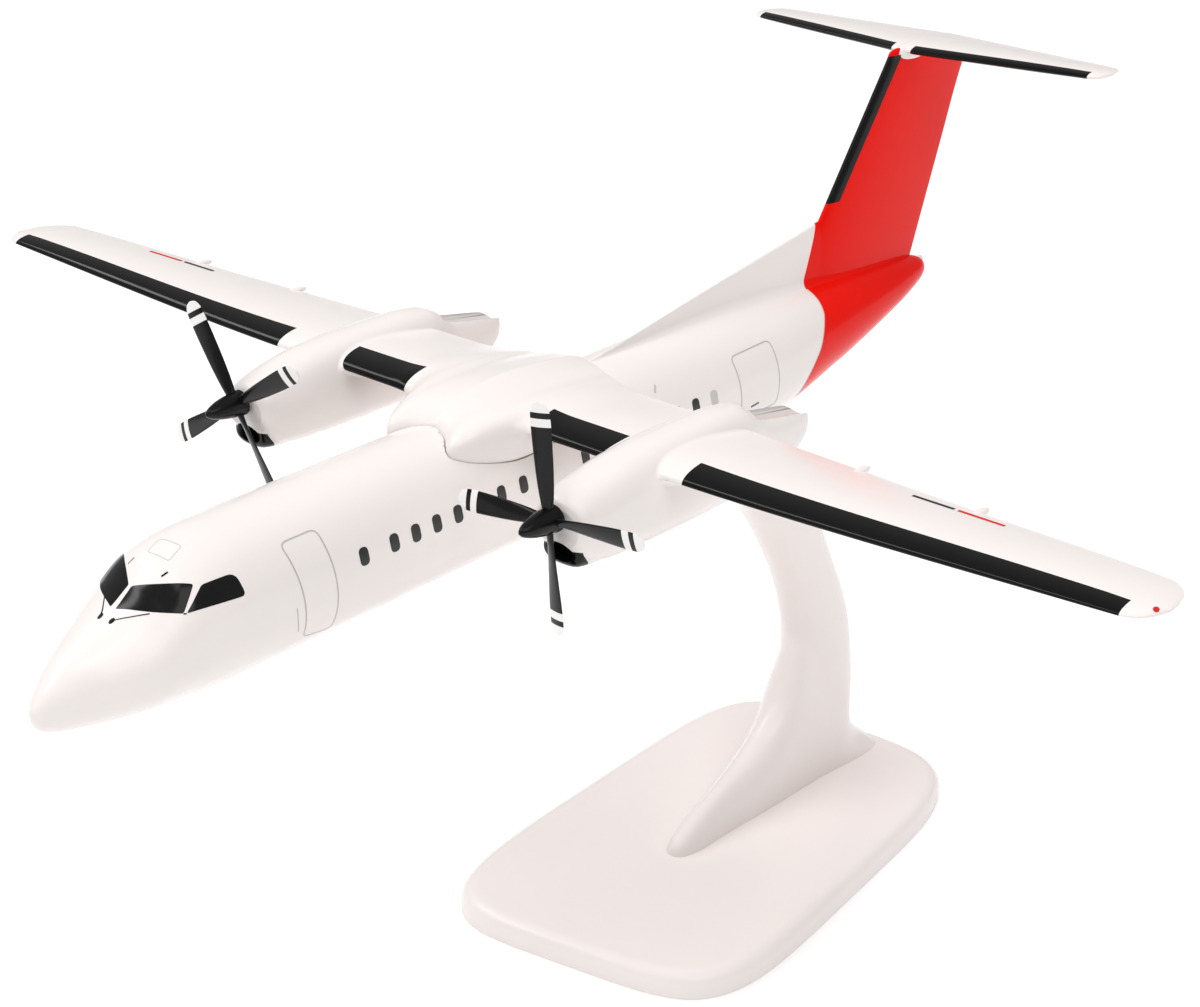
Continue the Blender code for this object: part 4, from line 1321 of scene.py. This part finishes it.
@dataclass
class WingPrint:
    """What is printed on the wing: two short walkway dashes on each side and the tip lamps."""

    wing: Wing
    dark_dash: Corners = ((83.9, 115.4), (92.3, 114.8))
    red_dash: Corners = ((93.1, 114.7), (102.3, 113.9))
    starboard_shift: tuple[float, float] = (4.7, -0.7)
    dash_width: float = 1.1
    lamp: tuple[float, float] = (135.9, 101.5)
    lamp_size: tuple[float, float] = (0.45, 0.65)

    def build(self) -> bpy.types.Object:
        """Prints the dashes and lamps of both sides."""
        sheet = PrintSheet()
        for side in Side:
            mirror = (side.value, 1)
            for dash, slot in ((self.dark_dash, 0), (self.red_dash, 1)):
                shift = self.starboard_shift if side is Side.STARBOARD else (0.0, 0.0)
                path = resample((np.array(dash) + shift) * mirror, 0.5, False)
                sheet.ribbon(path, self.wing.upper, self.dash_width, slot)
            spot = np.array(self.lamp) * mirror + circle(20) * self.lamp_size
            sheet.patch(spot, self.wing.upper, 1 if side is Side.PORT else 2, 3)
        return sheet.piece("wing_dashes", (WINDOW_INK, SIGNAL_RED, PALE_INK))


@dataclass
class Stand:
    """The display stand: a slab with bulging sides, and an arm that flows out of its long foot ridge."""

    length: float = 113.3
    width: float = 69.2
    centre: tuple[float, float] = (0.9, -0.3)
    taper: float = 0.055
    skew: tuple[float, float] = (0.062, 0.014)
    squareness: float = 4.8
    thickness: float = 5.8
    edge_radius: float = 2.8
    arm_line: Line = ((2.5, 36.6), (5.5, 36.6), (9.6, 36.9), (17.6, 38.4), (27.6, 39.9), (37.6, 39.3), (47.6, 36.4),
                      (57.6, 31.6), (67.6, 25.9), (77.6, 19.6), (87.6, 11.6), (97.6, 2.5), (104.0, -3.5))
    arm_half_width: Line = ((2.5, 9.4), (5.5, 9.4), (17.6, 8.5), (27.6, 7.7), (37.6, 7.1), (47.6, 6.7), (57.6, 6.4),
                            (67.6, 6.6), (77.6, 7.2), (104, 7.6))
    arm_half_depth: Line = ((2.5, 12.6), (5.5, 12.6), (17.6, 11.5), (27.6, 10.4), (37.6, 9.6), (47.6, 9.0),
                            (57.6, 8.6), (67.6, 8.9), (77.6, 9.7), (88, 11.0), (104, 14.0))
    ridge_half: Line = ((-17.4, 1.0), (-16.6, 2.4), (-14.5, 3.5), (-11, 4.2), (-5, 4.7), (2, 5.4), (9, 6.5),
                        (16, 7.3), (23, 7.9), (31, 8.8), (42, 11.4), (49, 12.8), (53.4, 13.2))
    ridge_crest: Line = ((-17.4, 6.6), (-16.6, 7.9), (-14.5, 9.4), (-11, 11.0), (-5, 13.0), (2, 14.9), (9, 17.0),
                         (16, 20.3), (20, 23.2), (23.5, 27.2), (26, 31.8), (28, 36.5), (30, 39.0), (34, 30.0),
                         (42, 17.0), (49, 11.0), (53.4, 8.0))
    ridge_foot: float = 3.0
    arm_top: float = 101.5
    base_sides: int = 240
    foot_chamfer: tuple[tuple[float, float], ...] = ((0.5, 0.0), (0.1, 0.15), (0.0, 0.5))
    arm_sides: int = 64
    ridge_runs: Runs = ((-17.4, 0.4), (-11, 1.0), (53.4, 1))
    ridge_power: float = 2.2
    ridge_rounding: float = 0.62
    grain: float = 0.5
    soft_steps: tuple[int, int] = (10, 240)
    soft_aft: Line = ((6, 0), (17, 1))
    soft_low: Line = ((4, 0.3), (7, 1))
    soft_high: Line = ((28, 1), (44, 0))
    soft_levels: int = 20

    def outline(self, inset: float, z: float) -> np.ndarray:
        """The base's outline at one height, drawn in by inset."""
        across, length = circle(self.base_sides).T
        reach = (np.abs(across) ** self.squareness + np.abs(length) ** self.squareness) ** (-1 / self.squareness)
        across, length = across * reach, length * reach
        front, rear = self.skew
        lean = 1 - ((front + rear) / 2 - (front - rear) / 2 * length) * across
        return np.stack([across * (1 - self.taper * length) * (self.width / 2 - inset) + self.centre[0],
                         length * lean * (self.length / 2 - inset) + self.centre[1],
                         np.full(self.base_sides, z)], axis=-1)

    def base(self) -> bpy.types.Object:
        """The slab with its rounded upper edge, its top filled with rings."""
        turn = np.linspace(0, np.pi / 2, 10)
        rings = [self.outline(inset, height) for inset, height in self.foot_chamfer]
        rings += [self.outline(self.edge_radius * (1 - math.cos(a)),
                               self.thickness - self.edge_radius * (1 - math.sin(a))) for a in turn]
        # The base's white is painted lighter than the fuselage's to even out its shade
        return loft("stand_base_moulding", np.stack(rings), (STAND_WHITE_PAINTED_LIGHTER,), None, STAND)

    def arm(self) -> bpy.types.Object:
        """The arm and its foot ridge, melted together into one soft form."""
        z = spaced((self.ridge_foot, 1.5), (self.arm_top, 1))
        across, aft = circle(self.arm_sides).T
        x = np.outer(along(self.arm_half_width, z), across)
        y = along(self.arm_line, z)[:, None] + np.outer(along(self.arm_half_depth, z), aft)
        rings = np.stack([x, y, np.broadcast_to(z[:, None], x.shape)], axis=-1)
        # Arm and ridge share the stand's white, painted lighter to even out their shade
        arm = loft("stand_arm_moulding", rings, (STAND_WHITE_PAINTED_LIGHTER,), None, STAND)
        s, u = spaced(*self.ridge_runs), bow(49)
        x = np.outer(along(self.ridge_half, s), u)
        rise = np.clip(1 - np.abs(u) ** self.ridge_power, 0, 1) ** self.ridge_rounding
        z = self.ridge_foot + np.outer(along(self.ridge_crest, s) - self.ridge_foot, rise)
        rings = np.stack([x, np.broadcast_to(s[:, None], x.shape), z], axis=-1)
        ridge = loft("foot_ridge", rings, (STAND_WHITE_PAINTED_LIGHTER,), None, STAND)
        carve(arm, Cut.JOIN, ridge)
        melt = arm.modifiers.new("melt", "REMESH")
        melt.mode = "VOXEL"
        melt.voxel_size = self.grain * MM
        settle(arm)
        self.soften_foot(arm)
        smooth(arm, 60.0)
        return arm

    def soften_foot(self, arm: bpy.types.Object) -> None:
        """Evens the whole skin a little and the corner between arm and ridge a lot."""
        spots = np.empty(len(arm.data.vertices) * 3)
        arm.data.vertices.foreach_get("co", spots)
        spots = spots.reshape(-1, 3) @ np.array(STAND.to_3x3()) / MM ** 2
        s, z = spots[:, 1], spots[:, 2]
        share = np.round(ramp(self.soft_aft, s) * ramp(self.soft_low, z) * ramp(self.soft_high, z) * self.soft_levels)
        group = arm.vertex_groups.new(name="foot")
        for level in range(1, self.soft_levels + 1):
            group.add(np.flatnonzero(share == level).tolist(), level / self.soft_levels, "REPLACE")
        for name, steps in zip(("", "foot"), self.soft_steps):
            soften = arm.modifiers.new("soften", "SMOOTH")
            soften.factor, soften.iterations, soften.vertex_group = 0.5, steps, name
        settle(arm)


@dataclass
class Studio:
    """Pale paper floor, a white tent of light and the photograph's camera."""

    camera_place: Triple = (278.361, -359.357, 289.069)
    azimuth: float = 41.2546
    elevation: float = 24.3037
    roll: float = -0.1262
    lens: float = 71.587
    shift: tuple[float, float] = (0.00752, -0.00246)
    floor_size: float = 10.0
    aim: Triple = (0.0, 0.0, 0.12)
    tent_light: float = 0.35
    tent_seen: float = 1.0
    ceiling_place: Triple = (-0.1, -0.15, 1.3)
    ceiling_strength: float = 2.12
    ceiling_spread: float = 90.0
    softboxes: tuple[tuple[str, Triple, tuple[float, float], float], ...] = (
        ("key_softbox", (0.9, -0.5, 1.3), (0.8, 0.8), 3.0),
        ("strip_softbox", (-0.78, -0.53, 1.02), (1.1, 0.14), 2.6),
        ("front_softbox", (0.05, -0.5, 1.22), (0.5, 0.3), 0.8))

    def camera(self) -> None:
        """Places the camera where the photograph was taken."""
        a, e, r = (math.radians(angle) for angle in (self.azimuth, self.elevation, self.roll))
        back = Vector((math.sin(a) * math.cos(e), -math.cos(a) * math.cos(e), math.sin(e)))
        level = Vector((0, 0, 1)).cross(back).normalized()
        upright = back.cross(level)
        right = level * math.cos(r) + upright * math.sin(r)
        up = upright * math.cos(r) - level * math.sin(r)
        camera = bpy.data.objects.new("camera", bpy.data.cameras.new("camera"))
        camera.data.sensor_fit = "HORIZONTAL"
        camera.data.lens = self.lens
        camera.data.shift_x, camera.data.shift_y = self.shift
        camera.data.clip_start, camera.data.clip_end = 0.01, 50.0
        turn = Matrix((right, up, back)).transposed().to_4x4()
        camera.matrix_world = Matrix.Translation(Vector(self.camera_place) * MM) @ turn
        bpy.context.scene.collection.objects.link(camera)
        bpy.context.scene.camera = camera

    def softbox(self, name: str, place: Triple, size: tuple[float, float], watts: float) -> None:
        """A rectangular light in metres that faces the model."""
        light = bpy.data.lights.new(name, "AREA")
        light.shape, light.size, light.size_y, light.energy = "RECTANGLE", *size, watts
        self.hang(light, place)

    def hang(self, light: bpy.types.Light, place: Triple) -> bpy.types.Object:
        """Hangs a light at a place in metres, turned to the model."""
        lamp = bpy.data.objects.new(light.name, light)
        lamp.location = place
        lamp.rotation_euler = (Vector(self.aim) - lamp.location).to_track_quat("-Z", "Y").to_euler()
        bpy.context.scene.collection.objects.link(lamp)
        return lamp

    def build(self) -> None:
        """Lays the floor and sets the lights and the camera."""
        half = self.floor_size / 2 / MM
        corners = np.array([(-half, -half, 0), (half, -half, 0), (half, half, 0), (-half, half, 0)])
        floor = make_piece("floor", corners, [(0, 1, 2, 3)], (LIGHT_TABLE,), place=Matrix.Scale(MM, 4))
        world = bpy.data.worlds.new("light_tent")
        world.use_nodes = True
        tent = world.node_tree.nodes["Background"]
        tent.inputs["Color"].default_value = (1.0, 1.0, 1.0, 1.0)
        seen = add_node(world.node_tree, "ShaderNodeLightPath").outputs["Is Camera Ray"]
        light = add_node(world.node_tree, "ShaderNodeMapRange", {"Value": seen, "To Min": self.tent_light,
                                                                 "To Max": self.tent_seen})
        world.node_tree.links.new(light.outputs["Result"], tent.inputs["Strength"])
        bpy.context.scene.world = world
        ceiling = bpy.data.lights.new("lit_ceiling", "SUN")
        ceiling.energy, ceiling.angle = self.ceiling_strength, math.radians(self.ceiling_spread)
        self.hang(ceiling, self.ceiling_place).visible_glossy = False
        for softbox in self.softboxes:
            self.softbox(*softbox)
        bpy.context.scene.view_settings.view_transform = "Standard"
        self.camera()


def report(piece: bpy.types.Object, slot: str, body: str = "root", *nodes: str) -> None:
    """Hands a finished piece to its body and logs it.

    Args:
        piece: The piece.
        slot: The record's material slot; not used.
        body: The CAD body that carries it.
        nodes: The CAD nodes that it stands for.
    """
    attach(piece, body)
    if nodes:
        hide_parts(*nodes)
    triangles = sum(len(face.vertices) - 2 for face in piece.data.polygons)
    LOG.info("%s: %d triangles", piece.name, triangles)


def main() -> None:
    """Builds every piece in order."""
    logging.basicConfig(level=logging.INFO, format="%(message)s")
    hull, wing, fin, tailplane, stand = Hull(), Wing(), TailFin(), Tailplane(), Stand()
    report(hull.build(wing), "white_plastic", "root", "fuselage")
    report(wing.build(), "white_plastic", "root", "wing")
    for side, angle in PARKED.items():
        nacelle = Nacelle(side)
        report(nacelle.build(), "white_plastic", "root", "nacelle_" + side.label)
        for outward in (1, -1):
            report(nacelle.wing_fillet(wing, outward), "white_plastic")
        report(Propeller(side, angle).build(), "black_plastic", side.label + "_propeller", "propeller_" + side.label)
        frame["nodes"]["axle_" + side.label].data.materials.clear()
        frame["nodes"]["axle_" + side.label].data.materials.append(STEEL.material())
        report(fin.foot_fillet(hull, side), "white_plastic")
    report(fin.build(), "red_plastic", "root", "fin")
    report(tailplane.build(), "white_plastic", "root", "tailplane")
    report(tailplane.fairing(), "white_plastic")
    report(hull.tail_lamp(), "white_plastic")
    prints = HullPrint(hull)
    for piece in (prints.cabin(), prints.cockpit(), prints.lines(), prints.wipers(), WingPrint(wing).build()):
        report(piece, "black_plastic")
    report(stand.base(), "stand_plastic", "root", "stand_base")
    report(stand.arm(), "stand_plastic", "root", "stand_arm")
    Studio().build()


if __name__ == "__main__":
    main()
